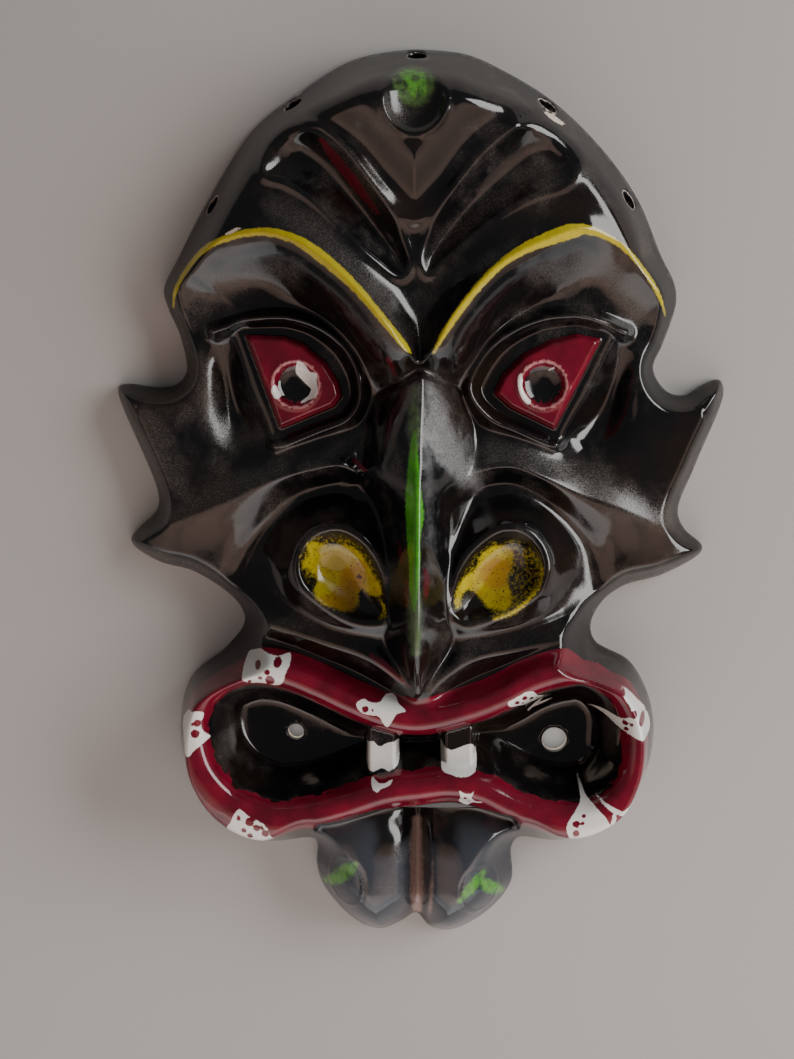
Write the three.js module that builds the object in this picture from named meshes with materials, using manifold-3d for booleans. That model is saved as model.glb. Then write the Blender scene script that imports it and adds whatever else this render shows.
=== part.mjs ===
// A glazed ceramic wall mask: one slip-cast shell with an open hollow back.
// Millimetres. The flat back rim lies in the plane z = 0, +Z comes out of the face
// and +Y points to the crown. x = 0 and y = 0 are the middle of the mask.
import * as THREE from 'three';
import { mergeVertices } from 'three/addons/utils/BufferGeometryUtils.js';
import Module from 'manifold-3d';

// Driving dimensions
const WALL = 7;
const RIM_LAND = 3;
const OUTLINE_STEP = 9;
const GRID_CELLS = 256;
const GRID_SPACING = 1.5;
const GRID_CORNER = { x: -191, y: -198 };
const FACE_TOLERANCE = 1.14;
const EDGE_BAND = 9;
const EDGE_CARE = 0.55;
const HOLLOW_TOLERANCE = 3.2;
const UNDERSIDE = -20;
const ABOVE_FACE = 90;

// The silhouette, clockwise seen from the front, from the top of the crown
const OUTLINE = [
  // crown, right side down to the tip of the brow
  [4, 184], [20, 182], [35, 175.5], [55.5, 163], [76.5, 143], [91, 123], [101, 100],
  [106.5, 89], [107.5, 81], [102.5, 64.5],
  // right horn
  [98.5, 53.5], [104.5, 44], [112, 42.5], [119.5, 47], [126, 49], [128, 44], [117, 13.5],
  // right wing of the cheek
  [110, -6.5], [113, -14], [120.5, -21], [120, -24], [104, -33.5], [87.5, -38.5],
  [78.5, -45.5], [74, -55], [76, -62.5],
  // right half of the mouth
  [90.5, -71], [97.5, -82], [101, -94], [101.5, -104], [99.5, -117], [91.5, -134],
  [74, -147], [60.5, -150.5], [44, -149.5],
  // tongue, two lobes with a notch
  [41, -153.5], [41, -169], [31, -182.5], [15, -191.5], [5.5, -190], [-0.5, -184],
  [-6.5, -187.5], [-16.5, -191.5], [-28.5, -186.5], [-41, -172], [-44, -162], [-44.5, -151.5],
  // left half of the mouth
  [-66.5, -152], [-88, -139], [-100.5, -119], [-103, -101], [-98, -79.5], [-82, -65.5],
  // left wing of the cheek
  [-74.5, -54.5], [-77.5, -46.5], [-95.5, -33.5], [-111, -29], [-122, -22], [-123, -19],
  [-119, -14], [-111.5, -6.5], [-111, 0.5],
  // left horn
  [-127, 42], [-127, 46], [-123.5, 47], [-108.5, 45.5], [-102, 47], [-98, 52],
  // left tip of the brow and back up to the crown
  [-100.5, 67.5], [-105, 78], [-107, 86.5], [-101, 99], [-89, 121.5], [-68, 152.5],
  [-47, 168.5], [-27, 180], [-6, 184],
];

// Lines that carry their own height as a third number
const LEFT_BROW = [
  [-101, 80, 18], [-98, 88.5, 20], [-94, 95, 24], [-87, 101.5, 28], [-77, 106, 32],
  [-62, 108.5, 36], [-48.5, 105.5, 40], [-30, 92.5, 44], [-11.5, 72, 48], [-4, 61.5, 46],
  [1.5, 57, 40],
];
const RIGHT_BROW = [
  [1.5, 57, 40], [7.5, 63, 46], [15, 76, 48], [33, 95.5, 44], [51, 105, 40], [66.5, 109.5, 36],
  [81, 103.5, 30], [88.5, 96.5, 28], [95.5, 88.5, 24], [100.5, 80.5, 20], [103, 74, 18],
];
const NOSE = [[2, 51, 46], [1, 26, 50], [1, -5, 56], [1, -36, 60], [1, -57, 59], [1, -76, 44]];
const LEFT_WING = [
  [-122, -18.5, 10], [-107, -13, 18], [-84, -3, 24], [-60.5, 8, 27], [-44, 13, 29],
  [-31.5, 15, 30], [-26, 13, 28],
];
const RIGHT_WING = [
  [119.5, -20.5, 10], [99, -10.5, 19], [84, -3.5, 24], [67, 2.5, 26], [51.5, 10, 29],
  [40, 14.5, 30], [29.5, 14, 31], [22, 11, 31], [16, 3, 31], [14, -19, 32],
];
const LEFT_MOUSTACHE = [[-66, -50, 28], [-39.5, -56.5, 35], [-18.5, -63, 39], [1, -77, 41]];
const RIGHT_MOUSTACHE = [[72, -55, 28], [42.5, -59.5, 35], [22, -63.5, 39], [3, -77, 41]];
const LEFT_LID = [
  [-83.5, 69, 24], [-67.5, 73.5, 27], [-50, 74, 28], [-37, 69, 28], [-27.5, 60, 28],
  [-23, 46, 28], [-27, 35, 27], [-43.5, 28, 26], [-58, 22.5, 25],
];
const RIGHT_LID = [
  [84.5, 68.5, 24], [67.5, 74.5, 27], [53, 74.5, 28], [39.5, 69.5, 28], [28.5, 61, 28],
  [21.5, 46, 28], [29.5, 34, 27], [42, 29, 26], [56.5, 23.5, 25],
];
const LEFT_TEMPLE_VALLEY = [[-81.5, 65, 16], [-79.5, 50, 11], [-77, 36, 9], [-72, 22, 12]];
const RIGHT_TEMPLE_VALLEY = [[86, 62.5, 15], [81.5, 47, 10], [77, 34, 9], [70, 23, 12]];
const LEFT_CHEEK_FOLD = [
  [-75, -32, 15], [-66, -16, 15], [-50, -3, 17], [-34, 1.5, 19], [-21, -2, 22],
];
const RIGHT_CHEEK_FOLD = [
  [75, -34, 15], [70, -18, 15], [58, -6, 17], [44, 0, 19], [30, 1, 21],
];
const V_RIDGE = [
  [-43.5, 150.5, 3], [-28, 139.5, 4], [-14.5, 124.5, 4], [-1, 114, 3.5], [12.5, 124, 4],
  [25, 139.5, 4], [38, 150.5, 3],
];

// Closed outlines of the hollows and plates on the face
const LEFT_TEARDROP = [
  [-61, 131], [-61.5, 140], [-57, 148], [-45, 152], [-33, 146], [-18.5, 128.5], [-6.5, 109],
  [-2.5, 95], [-6, 90.5], [-19, 99.5], [-41.5, 121], [-52, 127.5],
];
const RIGHT_TEARDROP = [
  [66, 134], [65.5, 143], [56, 151], [42.5, 150.5], [33, 144.5], [21, 132.5], [9.5, 117],
  [1.5, 98], [4.5, 91.5], [13.5, 99], [29, 112], [45, 121.5], [59, 126.5],
];
const LEFT_EYE_PLATE = [
  [-70.5, 67.5], [-54.5, 67], [-46.5, 64], [-37.5, 56.5], [-32.5, 48.5], [-31, 42.5],
  [-34, 38.5], [-56.5, 29],
];
const RIGHT_EYE_PLATE = [
  [75, 66], [65, 68], [54, 65.5], [43, 59.5], [35, 51.5], [31.5, 44], [38, 38], [56.5, 29],
];
const LEFT_NOSTRIL = [
  [-47.5, -26.5], [-45.5, -18.5], [-39.5, -12.5], [-30.5, -11], [-21.5, -16], [-15, -25.5],
  [-12.5, -35.5], [-12.5, -47], [-19.5, -48.5], [-29, -46], [-38.5, -40], [-45.5, -33.5],
];
const RIGHT_NOSTRIL = [
  [15.5, -45], [15.5, -35.5], [19.5, -24], [26.5, -16], [35, -11], [43, -11.5], [49.5, -17.5],
  [52, -26], [49.5, -34.5], [43.5, -39.5], [34, -44.5], [20.5, -48.5],
];
const LIP_CENTRE_LINE = [
  [1, -89], [22, -84], [34.5, -79], [46.5, -72.5], [58.5, -68.5], [69, -67.5], [78, -70.5],
  [86, -77.5], [91, -87.5], [92, -100], [90.5, -112.5], [84.5, -122], [75.5, -128.5],
  [63.5, -131], [51, -129.5], [39, -125], [26.5, -119], [14, -117], [1, -118.5],
  [-12.5, -120.5], [-37, -129], [-49.5, -131.5], [-60, -132], [-72.5, -128], [-82.5, -120.5],
  [-89.5, -110], [-92.5, -95.5], [-90, -81.5], [-82, -73], [-69.5, -68.5], [-55, -69.5],
  [-39, -75.5], [-26.5, -81.5], [-12.5, -87],
];
const LEFT_TOOTH = [[-20.5, -93], [-7.5, -93], [-7.5, -118], [-21, -120]];
const RIGHT_TOOTH = [[11, -93], [24.5, -92], [24.5, -119], [11, -116]];

// Sizes of the forms: a width is how far from its line a form is felt, a power how squarely
// it stops there, and no form but the nose shapes points beyond the reach
const REACH = 24;
const BROW = { above: 10, below: 16, belowPower: 3, fall: 0.4, middleX: 1.5, middleHalf: 22 };
const BROW_MIDDLE = { narrower: 4.5, squarer: 0.3, lower: 3 };
const RIDGE_WIDTH = 4.6;
const BOSS = { rise: 11, from: 0, to: 22 };
const TEARDROP = { depth: 6.5, from: -1, to: 13, rim: 1.3, rimWidth: 2.2 };
const CROWN_DISH = { x: -0.5, y: 159.5, halfWidth: 12.5, halfHeight: 13.7, depth: 5, rim: 1.6 };
const TEMPLE = { width: 6, lowerExtra: 4, lowerFrom: 50, lowerTo: 25, power: 2 };
const WING = { eyeSide: 8, eyePower: 1.3, noseSide: 5, nosePower: 1.6, fold: 7, foldPower: 2 };
const WING_OUTER = { wider: 8, from: 45, to: 85 };
const LID = { width: 2.8, power: 2 };
const EYE_FLOOR = 20.5;
const EYE_PLATE = { rise: 5, bevel: 1.8, moat: 8 };
const PUPILS = [{ x: -49.5, y: 47.5 }, { x: 51.5, y: 47.5 }];
const PUPIL = { radius: 9.5, depth: 3.6, ring: 0.7, ringShare: 0.16 };
const NOSTRIL = { rim: 39, depth: 9, run: 14, bowl: 2.2, outside: 8, outsidePower: 1.6, flatRim: 1.5 };
const MOUSTACHE = { width: 6.5, power: 2 };
const NOSE_FLANK = { topFall: 0.82, tipFall: 1.9, keel: 0.8, rounding: 5, reach: 40 };
const NOSE_STEEPER = { from: 18, to: -8 };
const NOSE_SHOULDER = { atTop: 4, slant: 0.35, extraFall: 1.1, rounding: 6 };
const NOSE_TOP = { y: 51, peak: 0.45, fall: 2.2 };
const LIP = { height: 42, outside: 6.6, outsidePower: 3 };
const LIP_CORNER = { wider: 12, lowerFrom: 40, lowerTo: 50, upperFrom: 62, upperTo: 80 };
const MOUTH_Y = -110;
const MOUTH = { floor: 11, wall: 12, wallPower: 3 };
const TOOTH = { height: 33, foot: 24, from: -2.2, to: 1.6 };
const TONGUE = { rootY: -131, crest: 32, lobeX: 22, lobeEnd: 1.2, fall: 10, x: 0.5 };
const TONGUE_ENDS = { rootDrop: 6, rootWidth: 9, tipDrop: 6, tipFrom: 165, tipTo: 195 };
const TONGUE_GROOVE = { half: 3.6, floor: 15 };
const TONGUE_DIMPLES = [{ x: -30, y: -163 }, { x: 27, y: -166 }];
const DIMPLE = { halfWidth: 10, halfHeight: 13, depth: 2.5 };
const SKIRT = { slope: 2.1, mouthExtra: 2.5, rounding: 4, crownExtra: 8, tongueExtra: 11, past: 8 };

// Round holes: five through the skirt of the crown, one in each half of the mouth
const RIM_HOLES = [[-84.5, 120.5], [-51.5, 162], [-0.5, 181], [53, 161], [83.5, 120.5]];
const RIM_HOLE_RADIUS = 4.2;
const HOLE_SIDES = 14;
const RIM_HOLE_HEIGHT = 11;
const MOUTH_HOLES = [
  { x: -52, y: -101.5, radius: 3.6 },
  { x: 58.5, y: -104, radius: 5.4 },
];

const smoothstep = THREE.MathUtils.smoothstep;

/** Smooth minimum: rounds the edge between two surfaces over a band of height k. */
function smoothMin(a, b, k) {
  const overlap = Math.max(k - Math.abs(a - b), 0) / k;
  return Math.min(a, b) - overlap * overlap * k * 0.25;
}

/** Draws height z towards height h, fully at distance 0 and less beyond the given width. */
function pull(z, h, distance, width, power) {
  return z + (h - z) * Math.exp(-Math.pow(distance / width, power));
}

/** A curve through control points, as short straight segments with interpolated heights. */
function curveThrough(points, { closed = false, smooth = true, step = 4 } = {}) {
  const raised = points.map(([x, y, h = 0]) => new THREE.Vector3(x, y, h));
  if (!smooth) return { closed, samples: raised, box: new THREE.Box3().setFromPoints(raised) };
  const curve = new THREE.CatmullRomCurve3(raised, closed, 'centripetal');
  const spans = closed ? raised.length : raised.length - 1;
  const samples = [];
  for (let i = 0; i < spans; i++) {
    const length = raised[i].distanceTo(raised[(i + 1) % raised.length]);
    const pieces = Math.max(2, Math.ceil(length / step));
    for (let k = 0; k < pieces; k++) samples.push(curve.getPoint((i + k / pieces) / spans));
  }
  if (!closed) samples.push(raised[raised.length - 1].clone());
  return { closed, samples, box: new THREE.Box3().setFromPoints(samples) };
}

/**
 * The nearest point of a curve: distance, height there, and side, which is +1 on the left
 * of an open curve or inside a closed one and -1 on the other side.
 */
function nearest(curve, x, y) {
  const { samples, closed } = curve;
  const count = samples.length;
  let best = Infinity;
  let height = 0;
  let side = 1;
  let inside = false;
  for (let i = closed ? 0 : 1; i < count; i++) {
    const a = samples[(i + count - 1) % count];
    const b = samples[i];
    const dx = b.x - a.x;
    const dy = b.y - a.y;
    const t = Math.min(1, Math.max(0, ((x - a.x) * dx + (y - a.y) * dy) / (dx * dx + dy * dy)));
    const gap = (x - a.x - t * dx) ** 2 + (y - a.y - t * dy) ** 2;
    if (gap < best) {
      best = gap;
      height = a.z + t * (b.z - a.z);
      side = Math.sign(dx * (y - a.y) - dy * (x - a.x)) || 1;
    }
    if (a.y > y !== b.y > y && x < a.x + ((y - a.y) * dx) / dy) inside = !inside;
  }
  if (closed) side = inside ? 1 : -1;
  return { distance: Math.sqrt(best), height, side };
}

/** True where a point is so far from a curve that the curve can't shape it. */
function outOfReach(curve, x, y, reach = REACH) {
  const { min, max } = curve.box;
  return x < min.x - reach || x > max.x + reach || y < min.y - reach || y > max.y + reach;
}

const outline = curveThrough(OUTLINE, { closed: true, step: OUTLINE_STEP });
const brow = curveThrough([...LEFT_BROW, ...RIGHT_BROW.slice(1)]);
const nose = curveThrough(NOSE);
const vRidge = curveThrough(V_RIDGE);
const wings = [curveThrough(LEFT_WING), curveThrough(RIGHT_WING)];
const moustaches = [curveThrough(LEFT_MOUSTACHE), curveThrough(RIGHT_MOUSTACHE)];
const lids = [curveThrough(LEFT_LID), curveThrough(RIGHT_LID)];
const templeValleys = [curveThrough(LEFT_TEMPLE_VALLEY), curveThrough(RIGHT_TEMPLE_VALLEY)];
const cheekFolds = [curveThrough(LEFT_CHEEK_FOLD), curveThrough(RIGHT_CHEEK_FOLD)];
const teardrops = [LEFT_TEARDROP, RIGHT_TEARDROP].map((p) => curveThrough(p, { closed: true }));
const eyePlates = [LEFT_EYE_PLATE, RIGHT_EYE_PLATE].map((p) =>
  curveThrough(p, { closed: true, smooth: false }));
const nostrils = [LEFT_NOSTRIL, RIGHT_NOSTRIL].map((p) => curveThrough(p, { closed: true }));
const lips = curveThrough(LIP_CENTRE_LINE, { closed: true });
const teeth = [LEFT_TOOTH, RIGHT_TOOTH].map((p) => curveThrough(p, { closed: true, smooth: false }));

/** 1 at 0, falling away on both sides: half way down at about 0.8 of the width. */
function bump(distance, width) {
  return Math.exp(-((distance / width) ** 2));
}

/** The broad swell of the face under all its features. */
function faceBody(x, y) {
  const cheek = 21 - 5 * (x / 115) ** 2;
  const muzzle = 10 * smoothstep(-y, 25, 62) * Math.exp(-((x / 62) ** 4));
  return cheek + muzzle;
}

function foreheadBody(x, y) {
  return 35 - 9 * (x / 88) ** 2 - 2 * ((y - 120) / 60) ** 2;
}

/** Forehead above the brow crest, eye sockets vaulted below it. */
function browAndForehead(x, y) {
  const { distance, height, side } = nearest(brow, x, y);
  if (side < 0) {
    const vault = height - BROW.fall * distance;
    return pull(faceBody(x, y), vault, distance, BROW.below, BROW.belowPower);
  }
  const middle = bump(x - BROW.middleX, BROW.middleHalf);
  const forehead = foreheadBody(x, y) - BROW_MIDDLE.lower * middle;
  const width = BROW.above - BROW_MIDDLE.narrower * middle;
  return pull(forehead, height, distance, width, 1 + BROW_MIDDLE.squarer * middle);
}

/** The V ridge with the boss inside it, two teardrop hollows and the dish at the top. */
function crown(z, x, y) {
  const ridge = nearest(vRidge, x, y);
  let result = z + ridge.height * bump(ridge.distance, RIDGE_WIDTH);
  if (ridge.side > 0) result += BOSS.rise * smoothstep(ridge.distance, BOSS.from, BOSS.to);
  for (const teardrop of teardrops) {
    if (outOfReach(teardrop, x, y)) continue;
    const { distance, side } = nearest(teardrop, x, y);
    result += TEARDROP.rim * bump(distance, TEARDROP.rimWidth);
    result -= TEARDROP.depth * smoothstep(distance * side, TEARDROP.from, TEARDROP.to);
  }
  const dish = CROWN_DISH;
  const radius = Math.hypot((x - dish.x) / dish.halfWidth, (y - dish.y) / dish.halfHeight);
  result += bump((radius - 1) * dish.halfWidth, dish.rim);
  return radius < 1 ? result - dish.depth * (1 - radius ** 2.4) : result;
}

function temple(z, x, y, index) {
  const valley = templeValleys[index];
  if (outOfReach(valley, x, y)) return z;
  const { distance, height } = nearest(valley, x, y);
  const width = TEMPLE.width + TEMPLE.lowerExtra * smoothstep(-y, -TEMPLE.lowerFrom, -TEMPLE.lowerTo);
  return pull(z, height, distance, width, TEMPLE.power);
}

/** The cheek fold, then the crest of the wing, steeper on the side of the nose. */
function wing(z, x, y, index) {
  let result = z;
  if (!outOfReach(cheekFolds[index], x, y)) {
    const fold = nearest(cheekFolds[index], x, y);
    result = pull(result, fold.height, fold.distance, WING.fold, WING.foldPower);
  }
  if (outOfReach(wings[index], x, y)) return result;
  const { distance, height, side } = nearest(wings[index], x, y);
  const eyeSide = index === 0 ? side > 0 : side < 0;
  if (eyeSide) return pull(result, height, distance, WING.eyeSide, WING.eyePower);
  const outer = smoothstep(Math.abs(x), WING_OUTER.from, WING_OUTER.to);
  return pull(result, height, distance, WING.noseSide + WING_OUTER.wider * outer, WING.nosePower);
}

/** The lid, the moat inside it, the raised plate and the ringed bowl of the pupil. */
function eye(z, x, y, index) {
  const plate = eyePlates[index];
  const lid = lids[index];
  let result = z;
  if (!outOfReach(lid, x, y)) {
    const { distance, height } = nearest(lid, x, y);
    result = pull(result, height, distance, LID.width, LID.power);
  }
  if (outOfReach(plate, x, y, EYE_PLATE.moat)) return result;
  const { distance, side } = nearest(plate, x, y);
  const inward = distance * side;
  result = EYE_FLOOR + (result - EYE_FLOOR) * smoothstep(-inward, 2, EYE_PLATE.moat);
  result += EYE_PLATE.rise * smoothstep(inward, -0.4, EYE_PLATE.bevel);
  const radius = Math.hypot(x - PUPILS[index].x, y - PUPILS[index].y) / PUPIL.radius;
  result += PUPIL.ring * bump(radius - 1, PUPIL.ringShare);
  return radius < 1 ? result - PUPIL.depth * (1 - radius ** 2) : result;
}

function nostril(z, x, y, index) {
  if (outOfReach(nostrils[index], x, y)) return z;
  const { distance, side } = nearest(nostrils[index], x, y);
  if (side < 0) {
    const past = Math.max(0, distance - NOSTRIL.flatRim);
    return pull(z, NOSTRIL.rim, past, NOSTRIL.outside, NOSTRIL.outsidePower);
  }
  const towardsMiddle = Math.min(1, distance / NOSTRIL.run);
  return NOSTRIL.rim - NOSTRIL.depth * (1 - (1 - towardsMiddle) ** NOSTRIL.bowl);
}

/** Moustache ridges, and the nose as a keel with shouldered flanks and a cut-off top. */
function noseAndMoustache(z, x, y) {
  let result = z;
  for (const moustache of moustaches) {
    if (outOfReach(moustache, x, y)) continue;
    const { distance, height } = nearest(moustache, x, y);
    result = pull(result, Math.max(height, result), distance, MOUSTACHE.width, MOUSTACHE.power);
  }
  if (outOfReach(nose, x, y, NOSE_FLANK.reach)) return result;
  const { distance, height } = nearest(nose, x, y);
  const { topFall, tipFall, keel, rounding } = NOSE_FLANK;
  const lower = smoothstep(-y, -NOSE_STEEPER.from, -NOSE_STEEPER.to);
  const fall = topFall + (tipFall - topFall) * lower;
  const shoulder = NOSE_SHOULDER.atTop + NOSE_SHOULDER.slant * (NOSE_TOP.y - y);
  const pastShoulder = -smoothMin(shoulder - distance, 0, NOSE_SHOULDER.rounding);
  const pastTop = Math.max(0, y - NOSE_TOP.y + NOSE_TOP.peak * Math.abs(x - NOSE[0][0]));
  const flank = height - fall * Math.max(0, distance - keel) - NOSE_TOP.fall * pastTop;
  const lowered = flank - NOSE_SHOULDER.extraFall * (1 - lower) * pastShoulder;
  return -smoothMin(-result, -lowered, rounding);
}

/** The rolled lips, the bowl of the mouth inside them and its two teeth. */
function mouth(z, x, y) {
  if (outOfReach(lips, x, y)) return z;
  const { distance, side } = nearest(lips, x, y);
  if (side < 0) {
    const { wider, lowerFrom, lowerTo, upperFrom, upperTo } = LIP_CORNER;
    const lower = smoothstep(Math.abs(x), lowerFrom, lowerTo);
    const upper = smoothstep(Math.abs(x), upperFrom, upperTo);
    const outside = LIP.outside + wider * (y < MOUTH_Y ? lower : upper);
    return pull(z, LIP.height, distance, outside, LIP.outsidePower);
  }
  let result = pull(MOUTH.floor, LIP.height, distance, MOUTH.wall, MOUTH.wallPower);
  for (const tooth of teeth) {
    const edge = nearest(tooth, x, y);
    const inside = smoothstep(edge.distance * edge.side, TOOTH.from, TOOTH.to);
    result = Math.max(result, TOOTH.height - TOOTH.foot * (1 - inside));
  }
  return result;
}

/** Two rounded lobes with a groove between them and a dimple in each. */
function tongue(z, x, y) {
  if (y > TONGUE.rootY + 2) return z;
  const { rootDrop, rootWidth, tipDrop, tipFrom, tipTo } = TONGUE_ENDS;
  const fromLobe = Math.abs(Math.abs(x - TONGUE.x) - TONGUE.lobeX) / TONGUE.lobeX;
  const lobe = Math.min(TONGUE.lobeEnd, fromLobe);
  let result = TONGUE.crest - TONGUE.fall * lobe ** 2;
  result -= rootDrop * bump(y - TONGUE.rootY, rootWidth) + tipDrop * smoothstep(-y, tipFrom, tipTo);
  for (const dimple of TONGUE_DIMPLES) {
    const radius = Math.hypot((x - dimple.x) / DIMPLE.halfWidth, (y - dimple.y) / DIMPLE.halfHeight);
    if (radius < 1) result -= DIMPLE.depth * (1 - radius ** 2);
  }
  return pull(result, TONGUE_GROOVE.floor, Math.abs(x - TONGUE.x), TONGUE_GROOVE.half, 2);
}

/** The front surface before its edge falls away to the rim. */
function relief(x, y) {
  let z = browAndForehead(x, y);
  if (y > 70) z = crown(z, x, y);
  for (const index of [0, 1]) {
    z = temple(z, x, y, index);
    z = wing(z, x, y, index);
    z = eye(z, x, y, index);
    z = nostril(z, x, y, index);
  }
  z = noseAndMoustache(z, x, y);
  z = tongue(z, x, y);
  return mouth(z, x, y);
}

/** Height of the outside surface; past the rim it runs on outwards at the same slope. */
function frontHeight(x, y) {
  const edge = nearest(outline, x, y);
  const inward = edge.distance * edge.side;
  const mouthShare = smoothstep(-y, 62, 80) * smoothstep(Math.abs(x), 42, 90);
  const slope = SKIRT.slope + SKIRT.mouthExtra * mouthShare;
  if (inward < -SKIRT.past) return RIM_LAND - slope * SKIRT.past;
  const nearCrown = SKIRT.crownExtra * smoothstep(y, 70, 150);
  const nearTongue = SKIRT.tongueExtra * smoothstep(-y, 145, 160);
  const rounding = SKIRT.rounding + nearCrown + nearTongue;
  return smoothMin(relief(x, y), RIM_LAND + slope * inward, rounding);
}

/** How closely the faceted surface follows the height: less along the plain outer skirt. */
function careAt(x, y) {
  const edge = nearest(outline, x, y);
  return edge.distance * edge.side < EDGE_BAND ? EDGE_CARE : 1;
}

/** Heights on the square grid that covers the mask. */
function sampleHeights(heightAt, careAt, cells, spacing) {
  const size = cells + 1;
  const heights = new Float64Array(size * size);
  const care = new Float64Array(size * size);
  for (let row = 0; row < size; row++) {
    for (let column = 0; column < size; column++) {
      const x = GRID_CORNER.x + column * spacing;
      const y = GRID_CORNER.y + row * spacing;
      heights[row * size + column] = heightAt(x, y);
      care[row * size + column] = careAt(x, y);
    }
  }
  return { heights, care, size, spacing };
}

/** Corners a and b of the long side of right triangle number `id` of the halving tree. */
function longSide(id, cells) {
  let [ax, ay, bx, by, cx, cy] = [0, 0, 0, 0, 0, 0];
  if (id & 1) [bx, by, cx] = [cells, cells, cells];
  else [ax, ay, cy] = [cells, cells, cells];
  for (let rest = id >> 1; rest > 1; rest >>= 1) {
    const mx = (ax + bx) / 2;
    const my = (ay + by) / 2;
    if (rest & 1) [bx, by, ax, ay] = [ax, ay, cx, cy];
    else [ax, ay, bx, by] = [bx, by, cx, cy];
    [cx, cy] = [mx, my];
  }
  return [ax, ay, bx, by];
}

/** How far the surface leaves the long side of each triangle, smallest triangles first. */
function halvingErrors({ heights, care, size, spacing }) {
  const cells = size - 1;
  const triangles = cells * cells * 2 - 2;
  const parents = triangles - cells * cells;
  const errors = new Float64Array(size * size);
  for (let i = triangles - 1; i >= 0; i--) {
    const [ax, ay, bx, by] = longSide(i + 2, cells);
    const mx = (ax + bx) / 2;
    const my = (ay + by) / 2;
    const middle = my * size + mx;
    const ha = heights[ay * size + ax];
    const hb = heights[by * size + bx];
    const steepness = (hb - ha) / (spacing * Math.hypot(bx - ax, by - ay));
    const leaves = Math.abs((ha + hb) / 2 - heights[middle]) / Math.hypot(1, steepness);
    errors[middle] = Math.max(errors[middle], heights[middle] < -2 ? 0 : leaves * care[middle]);
    if (i >= parents) continue;
    const cx = mx + my - ay;
    const cy = my + ax - mx;
    const left = ((ay + cy) / 2) * size + (ax + cx) / 2;
    const right = ((by + cy) / 2) * size + (bx + cx) / 2;
    errors[middle] = Math.max(errors[middle], errors[left], errors[right]);
  }
  return errors;
}

/** A closed solid under a height grid, with as few triangles as the tolerance allows. */
function solidUnderGrid(wasm, grid, tolerance) {
  const { heights, size, spacing } = grid;
  const errors = halvingErrors(grid);
  const used = new Map();
  const top = [];
  const vertex = (column, row) => {
    const key = row * size + column;
    if (!used.has(key)) used.set(key, used.size);
    return used.get(key);
  };
  const halve = (ax, ay, bx, by, cx, cy) => {
    const mx = (ax + bx) / 2;
    const my = (ay + by) / 2;
    if (Math.abs(ax - cx) + Math.abs(ay - cy) > 1 && errors[my * size + mx] > tolerance) {
      halve(cx, cy, ax, ay, mx, my);
      halve(bx, by, cx, cy, mx, my);
    } else {
      top.push([vertex(ax, ay), vertex(cx, cy), vertex(bx, by)]);
    }
  };
  const last = size - 1;
  halve(0, 0, last, last, last, 0);
  halve(last, last, 0, 0, 0, last);

  const count = used.size;
  const positions = new Float32Array(count * 6);
  for (const [key, index] of used) {
    const x = GRID_CORNER.x + (key % size) * spacing;
    const y = GRID_CORNER.y + Math.floor(key / size) * spacing;
    positions.set([x, y, heights[key]], index * 3);
    positions.set([x, y, UNDERSIDE], (count + index) * 3);
  }
  const triangles = [];
  const open = new Map();
  for (const [a, b, c] of top) {
    triangles.push(a, b, c, count + a, count + c, count + b);
    for (const [from, to] of [[a, b], [b, c], [c, a]]) {
      if (!open.delete(`${to},${from}`)) open.set(`${from},${to}`, [from, to]);
    }
  }
  for (const [from, to] of open.values()) {
    triangles.push(from, count + from, to, to, count + from, count + to);
  }
  return manifoldFrom(wasm, positions, Uint32Array.from(triangles));
}

function manifoldFrom(wasm, vertProperties, triVerts) {
  return new wasm.Manifold(new wasm.Mesh({ numProp: 3, vertProperties, triVerts }));
}

function manifoldOf(wasm, geometry) {
  const bare = geometry.clone();
  bare.deleteAttribute('normal');
  bare.deleteAttribute('uv');
  const merged = mergeVertices(bare, 1e-4);
  return manifoldFrom(wasm, merged.attributes.position.array, Uint32Array.from(merged.index.array));
}

/** Everything inside the silhouette, straight up from the back plane. */
function silhouettePrism(wasm) {
  const shape = new THREE.Shape(outline.samples.map((p) => new THREE.Vector2(p.x, p.y)));
  const options = { depth: ABOVE_FACE, bevelEnabled: false, steps: 1 };
  return manifoldOf(wasm, new THREE.ExtrudeGeometry(shape, options));
}

/** Ceiling of the hollow back: a ball of the wall's radius rolled under the front surface. */
function hollowHeights(front) {
  const { heights, size, spacing } = front;
  const reach = Math.ceil(WALL / spacing);
  return (x, y) => {
    const column = Math.round((x - GRID_CORNER.x) / spacing);
    const row = Math.round((y - GRID_CORNER.y) / spacing);
    let ceiling = Infinity;
    for (let dr = -reach; dr <= reach; dr++) {
      for (let dc = -reach; dc <= reach; dc++) {
        const away = Math.hypot(dr, dc) * spacing;
        if (away > WALL) continue;
        const r = Math.min(size - 1, Math.max(0, row + dr));
        const c = Math.min(size - 1, Math.max(0, column + dc));
        ceiling = Math.min(ceiling, heights[r * size + c] - Math.sqrt(WALL ** 2 - away ** 2));
      }
    }
    return Math.max(ceiling, UNDERSIDE * 0.9);
  };
}

/** A round hole drilled along a direction through a point. */
function drill(wasm, centre, direction, radius, length) {
  const geometry = new THREE.CylinderGeometry(radius, radius, length, HOLE_SIDES);
  const turn = new THREE.Quaternion();
  turn.setFromUnitVectors(new THREE.Vector3(0, 1, 0), direction.clone().normalize());
  geometry.applyQuaternion(turn);
  geometry.translate(centre.x, centre.y, centre.z);
  return manifoldOf(wasm, geometry);
}

function rimHole(wasm, [x, y]) {
  const outward = new THREE.Vector3(x, y - 60, 0).normalize();
  outward.z = 0.4;
  const centre = new THREE.Vector3(x, y, RIM_HOLE_HEIGHT);
  return drill(wasm, centre, outward, RIM_HOLE_RADIUS, 40);
}

function mouthHole(wasm, { x, y, radius }) {
  return drill(wasm, new THREE.Vector3(x, y, 0), new THREE.Vector3(0, 0, 1), radius, 60);
}

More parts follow.
